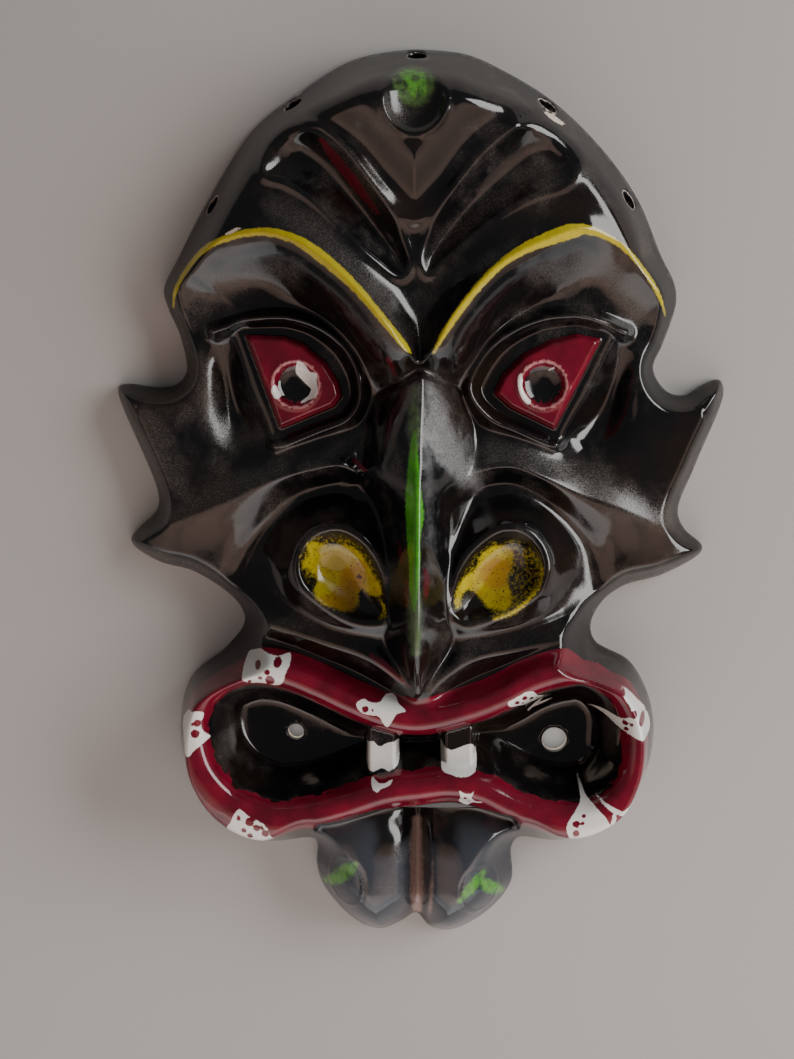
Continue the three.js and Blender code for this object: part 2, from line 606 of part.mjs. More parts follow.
async function maskGeometry() {
  const wasm = await Module();
  wasm.setup();
  const front = sampleHeights(frontHeight, careAt, GRID_CELLS, GRID_SPACING);
  const hollow = sampleHeights(hollowHeights(front), () => 1, GRID_CELLS / 2, GRID_SPACING * 2);
  let solid = silhouettePrism(wasm).intersect(solidUnderGrid(wasm, front, FACE_TOLERANCE));
  solid = solid.subtract(solidUnderGrid(wasm, hollow, HOLLOW_TOLERANCE));
  for (const place of RIM_HOLES) solid = solid.subtract(rimHole(wasm, place));
  for (const place of MOUTH_HOLES) solid = solid.subtract(mouthHole(wasm, place));
  const { vertProperties, triVerts } = solid.getMesh();
  const geometry = new THREE.BufferGeometry();
  geometry.setAttribute('position', new THREE.BufferAttribute(vertProperties, 3));
  geometry.setIndex(new THREE.BufferAttribute(triVerts, 1));
  geometry.computeBoundingBox();
  const { min, max } = geometry.boundingBox;
  geometry.translate(-(min.x + max.x) / 2, -(min.y + max.y) / 2, -min.z);
  geometry.computeVertexNormals();
  return geometry;
}

const blackGlaze = new THREE.MeshStandardMaterial({ color: 0x17181b, roughness: 0.12, metalness: 0 });
const mask = new THREE.Mesh(await maskGeometry(), blackGlaze);
mask.name = 'mask';

const ceramicMask = new THREE.Group();
ceramicMask.add(mask);
export default ceramicMask;
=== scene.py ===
"""A glazed ceramic wall mask, lying face up on a pale floor.

Shapes are worked out in millimetres in the mask's own plane and turned into metres when a
mesh is made. +Z comes out of the face, +Y points to the crown.
"""

import math
from collections import namedtuple
from types import SimpleNamespace as Sizes

import bmesh
import bpy
import numpy as np
from mathutils import Matrix, Vector
from mathutils.geometry import delaunay_2d_cdt


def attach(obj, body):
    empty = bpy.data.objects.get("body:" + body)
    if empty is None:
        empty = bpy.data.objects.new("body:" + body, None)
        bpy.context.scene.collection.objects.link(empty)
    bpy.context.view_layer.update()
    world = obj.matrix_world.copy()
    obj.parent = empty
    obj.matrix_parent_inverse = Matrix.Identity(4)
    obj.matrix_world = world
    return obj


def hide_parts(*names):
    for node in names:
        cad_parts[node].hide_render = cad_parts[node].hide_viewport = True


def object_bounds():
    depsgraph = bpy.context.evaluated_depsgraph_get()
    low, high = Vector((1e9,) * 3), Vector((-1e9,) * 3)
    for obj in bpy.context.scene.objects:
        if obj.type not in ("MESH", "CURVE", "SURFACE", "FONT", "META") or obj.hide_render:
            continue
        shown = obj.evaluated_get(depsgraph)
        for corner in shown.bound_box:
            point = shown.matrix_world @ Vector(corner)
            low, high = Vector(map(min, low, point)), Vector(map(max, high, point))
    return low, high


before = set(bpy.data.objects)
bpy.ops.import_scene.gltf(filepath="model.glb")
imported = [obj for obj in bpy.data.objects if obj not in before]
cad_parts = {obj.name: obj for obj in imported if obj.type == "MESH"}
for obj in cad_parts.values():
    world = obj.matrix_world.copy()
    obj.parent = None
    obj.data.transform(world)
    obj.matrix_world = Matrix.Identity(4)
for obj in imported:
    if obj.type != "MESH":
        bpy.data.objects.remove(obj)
CAD_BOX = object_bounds()

MM = 0.001

# Shell: its wall, the upright land at the foot, the rounding under it, and how closely
# its points lie on the outline, the front, the back and the hollow's ceiling
WALL = 7.0
RIM_LAND = 3.0
FOOT_ROUNDING = 0.9
FOOT_INSET = 0.8 * FOOT_ROUNDING
OUTLINE_STEP = 1.3
FINE_LATTICE = 0.85
BEND_LIMIT = 0.072
SHARP_MARGIN = 2
BACK_LATTICE = 1.6
HOLLOW_CELL = 1.5
# How near to a rim or a hole the points may lie, in front and behind
FRONT_GAP = 0.45 * FINE_LATTICE
BACK_GAP = 0.5
# Behind, points this near to the hollow's edge move onto it, and out to here they lie close
SNAP_REACH = 0.45 * BACK_LATTICE
CLOSE_REACH = 3 * BACK_LATTICE
# The slope is measured over this step; one of less than the root of this counts as level,
# and a height below this as flat rim
SLOPE_STEP = 0.5
LEVEL = 1e-6
FLAT = 0.02
HOLE_SIDES = 28
HOLE_WALL_ROWS = (0.12, 0.5, 0.88)
# How far along its line a hole's two ends are looked for
RIM_HOLE_FRONT = (-4, 26)
RIM_HOLE_BACK = (-26, 4)
MOUTH_HOLE_ENDS = (0, 60)
BISECTIONS = 40
# Steps and least slope when the nearest place on a curve is sought
NEWTON_STEPS = 3
LEAST_RATE = 0.2
SAME_POINT = 1e-6

# The silhouette, clockwise seen from the front, from the top of the crown
OUTLINE = [
    # crown, right side down to the tip of the brow
    (4, 184), (20, 182), (35, 175.5), (55.5, 163), (76.5, 143), (91, 123), (101, 100),
    (106.5, 89), (107.5, 81), (102.5, 64.5),
    # right horn
    (98.5, 53.5), (104.5, 44), (112, 42.5), (119.5, 47), (126, 49), (128, 44), (117, 13.5),
    # right wing of the cheek
    (110, -6.5), (113, -14), (120.5, -21), (120, -24), (104, -33.5), (87.5, -38.5),
    (78.5, -45.5), (74, -55), (76, -62.5),
    # right half of the mouth
    (90.5, -71), (97.5, -82), (101, -94), (101.5, -104), (99.5, -117), (91.5, -134),
    (74, -147), (60.5, -150.5), (44, -149.5),
    # tongue, two lobes with a notch
    (41, -153.5), (41, -169), (31, -182.5), (15, -191.5), (5.5, -190), (-0.5, -184),
    (-6.5, -187.5), (-16.5, -191.5), (-28.5, -186.5), (-41, -172), (-44, -162), (-44.5, -151.5),
    # left half of the mouth
    (-66.5, -152), (-88, -139), (-100.5, -119), (-103, -101), (-98, -79.5), (-82, -65.5),
    # left wing of the cheek
    (-74.5, -54.5), (-77.5, -46.5), (-95.5, -33.5), (-111, -29), (-122, -22), (-123, -19),
    (-119, -14), (-111.5, -6.5), (-111, 0.5),
    # left horn
    (-127, 42), (-127, 46), (-123.5, 47), (-108.5, 45.5), (-102, 47), (-98, 52),
    # left tip of the brow and back up to the crown
    (-100.5, 67.5), (-105, 78), (-107, 86.5), (-101, 99), (-89, 121.5), (-68, 152.5),
    (-47, 168.5), (-27, 180), (-6, 184),
]

# Lines that carry their own height as a third number
LEFT_BROW = [
    (-101, 80, 18), (-98, 88.5, 20), (-94, 95, 24), (-87, 101.5, 28), (-77, 106, 32),
    (-62, 108.5, 36), (-48.5, 105.5, 40), (-30, 92.5, 44), (-11.5, 72, 48), (-4, 61.5, 46),
    (1.5, 57, 40),
]
RIGHT_BROW = [
    (1.5, 57, 40), (7.5, 63, 46), (15, 76, 48), (33, 95.5, 44), (51, 105, 40), (66.5, 109.5, 36),
    (81, 103.5, 30), (88.5, 96.5, 28), (95.5, 88.5, 24), (100.5, 80.5, 20), (103, 74, 18),
]
NOSE = [(2, 51, 46), (1, 26, 50), (1, -5, 56), (1, -36, 60), (1, -57, 59), (1, -76, 44)]
LEFT_WING = [
    (-122, -18.5, 10), (-107, -13, 18), (-84, -3, 24), (-60.5, 8, 27), (-44, 13, 29),
    (-31.5, 15, 30), (-26, 13, 28),
]
RIGHT_WING = [
    (119.5, -20.5, 10), (99, -10.5, 19), (84, -3.5, 24), (67, 2.5, 26), (51.5, 10, 29),
    (40, 14.5, 30), (29.5, 14, 31), (22, 11, 31), (16, 3, 31), (14, -19, 32),
]
LEFT_MOUSTACHE = [(-66, -50, 28), (-39.5, -56.5, 35), (-18.5, -63, 39), (1, -77, 41)]
RIGHT_MOUSTACHE = [(72, -55, 28), (42.5, -59.5, 35), (22, -63.5, 39), (3, -77, 41)]
LEFT_LID = [
    (-83.5, 69, 24), (-67.5, 73.5, 27), (-50, 74, 28), (-37, 69, 28), (-27.5, 60, 28),
    (-23, 46, 28), (-27, 35, 27), (-43.5, 28, 26), (-58, 22.5, 25),
]
RIGHT_LID = [
    (84.5, 68.5, 24), (67.5, 74.5, 27), (53, 74.5, 28), (39.5, 69.5, 28), (28.5, 61, 28),
    (21.5, 46, 28), (29.5, 34, 27), (42, 29, 26), (56.5, 23.5, 25),
]
LEFT_TEMPLE_VALLEY = [(-81.5, 65, 16), (-79.5, 50, 11), (-77, 36, 9), (-72, 22, 12)]
RIGHT_TEMPLE_VALLEY = [(86, 62.5, 15), (81.5, 47, 10), (77, 34, 9), (70, 23, 12)]
LEFT_CHEEK_FOLD = [
    (-75, -32, 15), (-66, -16, 15), (-50, -3, 17), (-34, 1.5, 19), (-21, -2, 22),
]
RIGHT_CHEEK_FOLD = [
    (75, -34, 15), (70, -18, 15), (58, -6, 17), (44, 0, 19), (30, 1, 21),
]
V_RIDGE = [
    (-43.5, 150.5, 3), (-28, 139.5, 4), (-14.5, 124.5, 4), (-1, 114, 3.5), (12.5, 124, 4),
    (25, 139.5, 4), (38, 150.5, 3),
]

# Closed outlines of the hollows and plates on the face
LEFT_TEARDROP = [
    (-61, 131), (-61.5, 140), (-57, 148), (-45, 152), (-33, 146), (-18.5, 128.5), (-6.5, 109),
    (-2.5, 95), (-6, 90.5), (-19, 99.5), (-41.5, 121), (-52, 127.5),
]
RIGHT_TEARDROP = [
    (66, 134), (65.5, 143), (56, 151), (42.5, 150.5), (33, 144.5), (21, 132.5), (9.5, 117),
    (1.5, 98), (4.5, 91.5), (13.5, 99), (29, 112), (45, 121.5), (59, 126.5),
]
LEFT_EYE_PLATE = [
    (-70.5, 67.5), (-54.5, 67), (-46.5, 64), (-37.5, 56.5), (-32.5, 48.5), (-31, 42.5),
    (-34, 38.5), (-56.5, 29),
]
RIGHT_EYE_PLATE = [
    (75, 66), (65, 68), (54, 65.5), (43, 59.5), (35, 51.5), (31.5, 44), (38, 38), (56.5, 29),
]
LEFT_NOSTRIL = [
    (-47.5, -26.5), (-45.5, -18.5), (-39.5, -12.5), (-30.5, -11), (-21.5, -16), (-15, -25.5),
    (-12.5, -35.5), (-12.5, -47), (-19.5, -48.5), (-29, -46), (-38.5, -40), (-45.5, -33.5),
]
RIGHT_NOSTRIL = [
    (15.5, -45), (15.5, -35.5), (19.5, -24), (26.5, -16), (35, -11), (43, -11.5), (49.5, -17.5),
    (52, -26), (49.5, -34.5), (43.5, -39.5), (34, -44.5), (20.5, -48.5),
]
LIP_CENTRE_LINE = [
    (1, -89), (22, -84), (34.5, -79), (46.5, -72.5), (58.5, -68.5), (69, -67.5), (78, -70.5),
    (86, -77.5), (91, -87.5), (92, -100), (90.5, -112.5), (84.5, -122), (75.5, -128.5),
    (63.5, -131), (51, -129.5), (39, -125), (26.5, -119), (14, -117), (1, -118.5),
    (-12.5, -120.5), (-37, -129), (-49.5, -131.5), (-60, -132), (-72.5, -128), (-82.5, -120.5),
    (-89.5, -110), (-92.5, -95.5), (-90, -81.5), (-82, -73), (-69.5, -68.5), (-55, -69.5),
    (-39, -75.5), (-26.5, -81.5), (-12.5, -87),
]
LEFT_TOOTH = [(-20.5, -93), (-7.5, -93), (-7.5, -118), (-21, -120)]
RIGHT_TOOTH = [(11, -93), (24.5, -92), (24.5, -119), (11, -116)]

# Sizes of the forms: a width is how far from its line a form is felt, a power how squarely
# it stops there, and no form but the nose shapes points beyond the reach
REACH = 24
NEAR_REACH = 8
CHEEK = Sizes(height=21, fall=5, half=115)
MUZZLE = Sizes(rise=10, start=25, end=62, half=62)
FOREHEAD = Sizes(height=35, side_fall=9, half=88, end_fall=2, middle_y=120, half_height=60)
BROW = Sizes(above=10, below=16, below_power=3, fall=0.4, middle_x=1.5, middle_half=22)
BROW_MIDDLE = Sizes(narrower=4.5, squarer=0.3, lower=3)
# Where the right brow bends, and how far the vault below it is softened
BROW_BEND = Sizes(x=67, y=95, reach=20, fade=7, rings=(2, 4, 6), spokes=8)
RIDGE_WIDTH = 4.6
BOSS = Sizes(rise=11, end=22, above_y=70)
TEARDROP = Sizes(depth=6.5, start=-1, end=13, rim=1.3, rim_width=2.2)
CROWN_DISH = Sizes(x=-0.5, y=159.5, half_width=12.5, half_height=13.7, depth=5, rim=1.6, bowl=2.4)
TEMPLE = Sizes(width=6, lower_extra=4, lower_from=50, lower_to=25, power=2)
CHEEK_FOLD = Sizes(width=7, power=2, reach=20)
WING = Sizes(eye_side=8, eye_power=1.3, nose_side=5, nose_power=1.6)
WING_OUTER = Sizes(wider=8, start=45, end=85)
LID = Sizes(width=2.8, power=2)
EYE_PLATE = Sizes(floor=20.5, rise=5, start=-0.4, bevel=1.8, moat_start=2, moat=8)
PUPILS = [(-49.5, 47.5), (51.5, 47.5)]
PUPIL = Sizes(radius=9.5, depth=3.6, ring=0.7, ring_share=0.16)
NOSTRIL = Sizes(rim=39, depth=9, run=14, bowl=2.2, outside=8, outside_power=1.6, flat_rim=1.5)
MOUSTACHE = Sizes(width=6.5, power=2)
NOSE_FLANK = Sizes(top_fall=0.82, tip_fall=1.9, keel=0.8, rounding=5, reach=40)
NOSE_STEEPER = Sizes(start=-18, end=8)
NOSE_SHOULDER = Sizes(at_top=4, slant=0.35, extra_fall=1.1, rounding=6)
NOSE_TOP = Sizes(x=2, y=51, peak=0.45, fall=2.2)
LIP = Sizes(height=42, outside=6.6, power=3)
LIP_CORNER = Sizes(wider=12, lower_from=40, lower_to=50, upper_from=62, upper_to=80)
MOUTH = Sizes(y=-110, floor=11, wall=12, power=3)
TOOTH = Sizes(height=33, foot=24, start=-2.2, end=1.6)
TONGUE = Sizes(x=0.5, root_y=-131, overlap=2, crest=32, lobe_x=22, lobe_end=1.2, fall=10)
TONGUE_ENDS = Sizes(root_drop=6, root_width=9, tip_drop=6, tip_from=165, tip_to=195)
TONGUE_GROOVE = Sizes(floor=15, half=3.6, power=2)
TONGUE_DIMPLES = [(-30, -163), (27, -166)]
DIMPLE = Sizes(half_width=10, half_height=13, depth=2.5)
SKIRT = Sizes(slope=2.1, mouth_extra=2.5, rounding=4, crown_extra=8, tongue_extra=11, past=8)

# Round holes: five through the skirt of the crown, one in each half of the mouth
RIM_HOLES = [(-84.5, 120.5), (-51.5, 162), (-0.5, 181), (53, 161), (83.5, 120.5)]
RIM_HOLE_RADIUS = 4.2
RIM_HOLE_HEIGHT = 11
RIM_HOLE_AIM = Sizes(y=60, rise=0.4)
MOUTH_HOLES = [(-52, -101.5, 3.6), (58.5, -104, 5.4)]


class Curve:
    """A smooth curve through control points, and short straight segments along it."""

    def __init__(self, points, closed=False, smooth=True, step=4.0):
        raised = np.array([(p[0], p[1], p[2] if len(p) > 2 else 0.0) for p in points], float)
        count = len(raised)
        spans = range(count if closed else count - 1)
        self.closed = closed
        self.cubics = None
        if smooth:
            self.cubics = np.array([cubic_between(raised, i, closed) for i in spans])
        self.starts = []
        for i in spans:
            length = np.linalg.norm(raised[(i + 1) % count] - raised[i])
            pieces = max(2, math.ceil(length / step)) if smooth else 1
            self.starts += [(i, k / pieces, (k + 1) / pieces) for k in range(pieces)]
        self.starts = np.array(self.starts)
        span, first, _ = self.starts.T
        self.samples = along_cubics(self.cubics[span.astype(int)], first)[0] if smooth else raised
        if smooth and not closed:
            self.samples = np.vstack([self.samples, raised[-1]])
        self.low = self.samples[:, :2].min(axis=0)
        self.high = self.samples[:, :2].max(axis=0)
        ahead = np.roll(self.samples, -1, axis=0)
        area = (self.samples[:, 0] * ahead[:, 1] - ahead[:, 0] * self.samples[:, 1]).sum()
        self.turn = 1 if area > 0 or not closed else -1

    def reaches(self, x, y, reach):
        """Which points lie so near that the curve can shape them."""
        low = self.low - reach
        high = self.high + reach
        return (x > low[0]) & (x < high[0]) & (y > low[1]) & (y < high[1])


def cubic_between(points, i, closed):
    """Centripetal Catmull-Rom between point i and the next, as the factors of a cubic."""
    count = len(points)
    p1, p2 = points[i], points[(i + 1) % count]
    p0 = points[i - 1] if closed or i > 0 else 2 * p1 - p2
    p3 = points[(i + 2) % count] if closed or i + 2 < count else 2 * p2 - p1
    d0, d1, d2 = (math.sqrt(np.linalg.norm(b - a)) for a, b in ((p0, p1), (p1, p2), (p2, p3)))
    start = ((p1 - p0) / d0 - (p2 - p0) / (d0 + d1) + (p2 - p1) / d1) * d1
    end = ((p2 - p1) / d1 - (p3 - p1) / (d1 + d2) + (p3 - p2) / d2) * d1
    return 2 * p1 - 2 * p2 + start + end, -3 * p1 + 3 * p2 - 2 * start - end, start, p1


def along_cubics(cubics, t):
    """Place, first and second derivative at t on each cubic."""
    a, b, c, d = cubics.transpose(1, 0, 2)
    t = t[:, None]
    return ((a * t + b) * t + c) * t + d, (3 * a * t + 2 * b) * t + c, 6 * a * t + 2 * b


def nearest(curve, x, y, chunk=20000):
    """Distance to a curve, its height there, and the side: +1 on the left or inside."""
    a = curve.samples if curve.closed else curve.samples[:-1]
    b = np.roll(curve.samples, -1, axis=0) if curve.closed else curve.samples[1:]
    step = b - a
    length2 = step[:, 0] ** 2 + step[:, 1] ** 2
    results = [np.empty((0, 3))]
    for first in range(0, len(x), chunk):
        point = np.stack([x[first:first + chunk], y[first:first + chunk]], axis=1)
        px = point[:, :1] - a[:, 0]
        py = point[:, 1:] - a[:, 1]
        t = np.clip((px * step[:, 0] + py * step[:, 1]) / length2, 0, 1)
        gap2 = (px - t * step[:, 0]) ** 2 + (py - t * step[:, 1]) ** 2
        pick = gap2.argmin(axis=1)
        foot = t[np.arange(len(pick)), pick]
        place, along = a[pick] + foot[:, None] * step[pick], step[pick]
        if curve.cubics is not None:
            place, along = smooth_foot(curve, pick, foot, point)
        gap = point - place[:, :2]
        distance = np.linalg.norm(gap, axis=1)
        side = np.where(along[:, 0] * gap[:, 1] >= along[:, 1] * gap[:, 0], 1, -1)
        if curve.closed:
            above = (py < 0) != (py < step[:, 1])
            with np.errstate(divide="ignore", invalid="ignore"):
                crosses = above & (px < py * (step[:, 0] / step[:, 1]))
            inside = np.where(crosses.sum(axis=1) % 2 == 1, 1, -1)
            close = (distance < 1) & (curve.cubics is not None)
            side = np.where(close, curve.turn * side, inside)
        results.append(np.stack([distance, place[:, 2], side], axis=1))
    return np.concatenate(results).T


def smooth_foot(curve, pick, foot, point):
    """The nearest place on the smooth curve, found by Newton steps from the straight segment."""
    span, low, high = curve.starts[pick].T
    cubics = curve.cubics[span.astype(int)]
    t = low + foot * (high - low)
    for _ in range(NEWTON_STEPS):
        place, along, bend = along_cubics(cubics, t)
        gap = place[:, :2] - point
        slope = (along[:, :2] ** 2).sum(axis=1)
        change = (gap * along[:, :2]).sum(axis=1)
        rate = np.maximum(slope + (gap * bend[:, :2]).sum(axis=1), LEAST_RATE * slope)
        t = np.clip(t - change / rate, np.maximum(0, 2 * low - high), np.minimum(1, 2 * high - low))
    place, along, _ = along_cubics(cubics, t)
    return place, along


def smoothstep(value, low, high):
    t = np.clip((value - low) / (high - low), 0, 1)
    return t * t * (3 - 2 * t)


def smooth_min(a, b, k):
    """Smooth minimum: rounds the edge between two surfaces over a band of height k."""
    overlap = np.maximum(k - np.abs(a - b), 0) / k
    return np.minimum(a, b) - overlap * overlap * k * 0.25


def pull(z, h, distance, width, power):
    """Draws height z towards height h, fully at distance 0 and less beyond the width."""
    return z + (h - z) * np.exp(-(distance / width) ** power)


outline = Curve(OUTLINE, closed=True, step=OUTLINE_STEP)
brow = Curve(LEFT_BROW + RIGHT_BROW[1:])
nose = Curve(NOSE)
v_ridge = Curve(V_RIDGE)
wings = [Curve(LEFT_WING), Curve(RIGHT_WING)]
moustaches = [Curve(LEFT_MOUSTACHE), Curve(RIGHT_MOUSTACHE)]
lids = [Curve(LEFT_LID), Curve(RIGHT_LID)]
temple_valleys = [Curve(LEFT_TEMPLE_VALLEY), Curve(RIGHT_TEMPLE_VALLEY)]
cheek_folds = [Curve(LEFT_CHEEK_FOLD), Curve(RIGHT_CHEEK_FOLD)]
teardrops = [Curve(p, closed=True) for p in (LEFT_TEARDROP, RIGHT_TEARDROP)]
eye_plates = [Curve(p, closed=True, smooth=False) for p in (LEFT_EYE_PLATE, RIGHT_EYE_PLATE)]
nostrils = [Curve(p, closed=True) for p in (LEFT_NOSTRIL, RIGHT_NOSTRIL)]
lips = Curve(LIP_CENTRE_LINE, closed=True)
teeth = [Curve(p, closed=True, smooth=False) for p in (LEFT_TOOTH, RIGHT_TOOTH)]


def near(curve, x, y, reach):
    """The points within reach of a curve, with their distance, height and side."""
    mask = curve.reaches(x, y, reach)
    return (mask, *nearest(curve, x[mask], y[mask]))


def face_body(x, y):
    """The broad swell of the face under all its features."""
    muzzle = MUZZLE.rise * smoothstep(-y, MUZZLE.start, MUZZLE.end)
    muzzle *= np.exp(-(x / MUZZLE.half) ** 4)
    return CHEEK.height - CHEEK.fall * (x / CHEEK.half) ** 2 + muzzle


def forehead_body(x, y):
    from_middle = (y - FOREHEAD.middle_y) / FOREHEAD.half_height
    across = FOREHEAD.side_fall * (x / FOREHEAD.half) ** 2
    return FOREHEAD.height - across - FOREHEAD.end_fall * from_middle ** 2


def socket_vault(x, y, distance, height):
    """The vault under the brow, which falls away from the brow's crest."""
    falling = height - BROW.fall * distance
    return pull(face_body(x, y), falling, distance, BROW.below, BROW.below_power)


def soften_vault(below, x, y, distance, side):
    """Takes the crease out of the vault where the brow bends, by a mean over its surroundings."""
    bend = BROW_BEND
    away = np.hypot(x - bend.x, y - bend.y)
    mask = (side < 0) & (away < bend.reach)
    soft = np.zeros(mask.sum())
    for angle in np.arange(bend.spokes) * 2 * math.pi / bend.spokes:
        for radius in bend.rings:
            beside_x = x[mask] + radius * math.cos(angle)
            beside_y = y[mask] + radius * math.sin(angle)
            soft += socket_vault(beside_x, beside_y, *nearest(brow, beside_x, beside_y)[:2])
    soft /= bend.spokes * len(bend.rings)
    share = smoothstep(bend.reach - away[mask], 0, bend.fade)
    share = share * smoothstep(distance[mask], 1, bend.fade)
    below[mask] += share * (soft - below[mask])


def brow_and_forehead(x, y):
    """Forehead above the brow crest, eye sockets vaulted below it."""
    distance, height, side = nearest(brow, x, y)
    middle = np.exp(-((x - BROW.middle_x) / BROW.middle_half) ** 2)
    forehead = forehead_body(x, y) - BROW_MIDDLE.lower * middle
    width = BROW.above - BROW_MIDDLE.narrower * middle
    above = pull(forehead, height, distance, width, 1 + BROW_MIDDLE.squarer * middle)
    below = socket_vault(x, y, distance, height)
    soften_vault(below, x, y, distance, side)
    return np.where(side > 0, above, below)


def add_crown(z, x, y):
    """The V ridge with the boss inside it, two teardrop hollows and the dish at the top."""
    mask = y > BOSS.above_y
    distance, height, side = nearest(v_ridge, x[mask], y[mask])
    z[mask] += height * np.exp(-(distance / RIDGE_WIDTH) ** 2)
    z[mask] += np.where(side > 0, BOSS.rise * smoothstep(distance, 0, BOSS.end), 0)
    for teardrop in teardrops:
        mask, distance, _, side = near(teardrop, x, y, NEAR_REACH)
        z[mask] += TEARDROP.rim * np.exp(-(distance / TEARDROP.rim_width) ** 2)
        z[mask] -= TEARDROP.depth * smoothstep(distance * side, TEARDROP.start, TEARDROP.end)
    dish = CROWN_DISH
    radius = np.hypot((x - dish.x) / dish.half_width, (y - dish.y) / dish.half_height)
    z += np.exp(-((radius - 1) * dish.half_width / dish.rim) ** 2)
    z -= np.where(radius < 1, dish.depth * (1 - radius ** dish.bowl), 0)


def add_temple(z, x, y, index):
    mask, distance, height, _ = near(temple_valleys[index], x, y, REACH)
    lower = smoothstep(-y[mask], -TEMPLE.lower_from, -TEMPLE.lower_to)
    width = TEMPLE.width + TEMPLE.lower_extra * lower
    z[mask] = pull(z[mask], height, distance, width, TEMPLE.power)


def add_wing(z, x, y, index):
    """The cheek fold, then the crest of the wing, steeper on the side of the nose."""
    mask, distance, height, _ = near(cheek_folds[index], x, y, CHEEK_FOLD.reach)
    z[mask] = pull(z[mask], height, distance, CHEEK_FOLD.width, CHEEK_FOLD.power)
    mask, distance, height, side = near(wings[index], x, y, REACH)
    on_eye_side = side > 0 if index == 0 else side < 0
    eye_side = pull(z[mask], height, distance, WING.eye_side, WING.eye_power)
    outer = smoothstep(np.abs(x[mask]), WING_OUTER.start, WING_OUTER.end)
    width = WING.nose_side + WING_OUTER.wider * outer
    nose_side = pull(z[mask], height, distance, width, WING.nose_power)
    z[mask] = np.where(on_eye_side, eye_side, nose_side)


def add_eye(z, x, y, index):
    """The lid, the moat inside it, the raised plate and the ringed bowl of the pupil."""
    mask, distance, height, _ = near(lids[index], x, y, NEAR_REACH)
    z[mask] = pull(z[mask], height, distance, LID.width, LID.power)
    plate = EYE_PLATE
    mask, distance, _, side = near(eye_plates[index], x, y, plate.moat)
    inward = distance * side
    outside = smoothstep(-inward, plate.moat_start, plate.moat)
    z[mask] = plate.floor + (z[mask] - plate.floor) * outside
    z[mask] += plate.rise * smoothstep(inward, plate.start, plate.bevel)
    radius = np.hypot(x - PUPILS[index][0], y - PUPILS[index][1]) / PUPIL.radius
    z += PUPIL.ring * np.exp(-((radius - 1) / PUPIL.ring_share) ** 2)
    z -= np.where(radius < 1, PUPIL.depth * (1 - radius ** 2), 0)


def add_nostril(z, x, y, index):
    mask, distance, _, side = near(nostrils[index], x, y, REACH)
    past_rim = np.maximum(0, distance - NOSTRIL.flat_rim)
    outside = pull(z[mask], NOSTRIL.rim, past_rim, NOSTRIL.outside, NOSTRIL.outside_power)
    to_middle = np.minimum(1, distance / NOSTRIL.run)
    dish = NOSTRIL.depth * (1 - (1 - to_middle) ** NOSTRIL.bowl)
    z[mask] = np.where(side < 0, outside, NOSTRIL.rim - dish)


def add_nose_and_moustache(z, x, y):
    """Moustache ridges, and the nose as a keel with shouldered flanks and a cut-off top."""
    for moustache in moustaches:
        mask, distance, height, _ = near(moustache, x, y, REACH)
        ridge = np.maximum(height, z[mask])
        z[mask] = pull(z[mask], ridge, distance, MOUSTACHE.width, MOUSTACHE.power)
    mask, distance, height, _ = near(nose, x, y, NOSE_FLANK.reach)
    lower = smoothstep(-y[mask], NOSE_STEEPER.start, NOSE_STEEPER.end)
    shoulder = NOSE_SHOULDER.at_top + NOSE_SHOULDER.slant * (NOSE_TOP.y - y[mask])
    past_shoulder = -smooth_min(shoulder - distance, 0, NOSE_SHOULDER.rounding)
    fall = NOSE_FLANK.top_fall + (NOSE_FLANK.tip_fall - NOSE_FLANK.top_fall) * lower
    flank = height - fall * np.maximum(0, distance - NOSE_FLANK.keel)
    flank -= NOSE_SHOULDER.extra_fall * (1 - lower) * past_shoulder
    past_top = y[mask] - NOSE_TOP.y + NOSE_TOP.peak * np.abs(x[mask] - NOSE_TOP.x)
    flank -= NOSE_TOP.fall * np.maximum(0, past_top)
    z[mask] = -smooth_min(-z[mask], -flank, NOSE_FLANK.rounding)


def add_mouth(z, x, y):
    """The rolled lips, the bowl of the mouth inside them and its two teeth."""
    mask, distance, _, side = near(lips, x, y, REACH)
    across = np.abs(x[mask])
    corner = LIP_CORNER
    lower = smoothstep(across, corner.lower_from, corner.lower_to)
    upper = smoothstep(across, corner.upper_from, corner.upper_to)
    width = LIP.outside + corner.wider * np.where(y[mask] < MOUTH.y, lower, upper)
    outside = pull(z[mask], LIP.height, distance, width, LIP.power)
    inside = pull(MOUTH.floor, LIP.height, distance, MOUTH.wall, MOUTH.power)
    for tooth in teeth:
        edge, _, edge_side = nearest(tooth, x[mask], y[mask])
        within = smoothstep(edge * edge_side, TOOTH.start, TOOTH.end)
        inside = np.maximum(inside, TOOTH.height - TOOTH.foot * (1 - within))
    z[mask] = np.where(side < 0, outside, inside)


def add_tongue(z, x, y):
    """Two rounded lobes with a groove between them and a dimple in each."""
    mask = y <= TONGUE.root_y + TONGUE.overlap
    px, py = x[mask], y[mask]
    from_groove = np.abs(px - TONGUE.x)
    lobe = np.minimum(TONGUE.lobe_end, (from_groove - TONGUE.lobe_x) / TONGUE.lobe_x)
    ends = TONGUE_ENDS
    result = TONGUE.crest - TONGUE.fall * lobe ** 2
    result -= ends.root_drop * np.exp(-((py - TONGUE.root_y) / ends.root_width) ** 2)
    result -= ends.tip_drop * smoothstep(-py, ends.tip_from, ends.tip_to)
    for dimple_x, dimple_y in TONGUE_DIMPLES:
        radius = np.hypot((px - dimple_x) / DIMPLE.half_width, (py - dimple_y) / DIMPLE.half_height)
        result -= np.where(radius < 1, DIMPLE.depth * (1 - radius ** 2), 0)
    groove = TONGUE_GROOVE
    z[mask] = pull(result, groove.floor, from_groove, groove.half, groove.power)


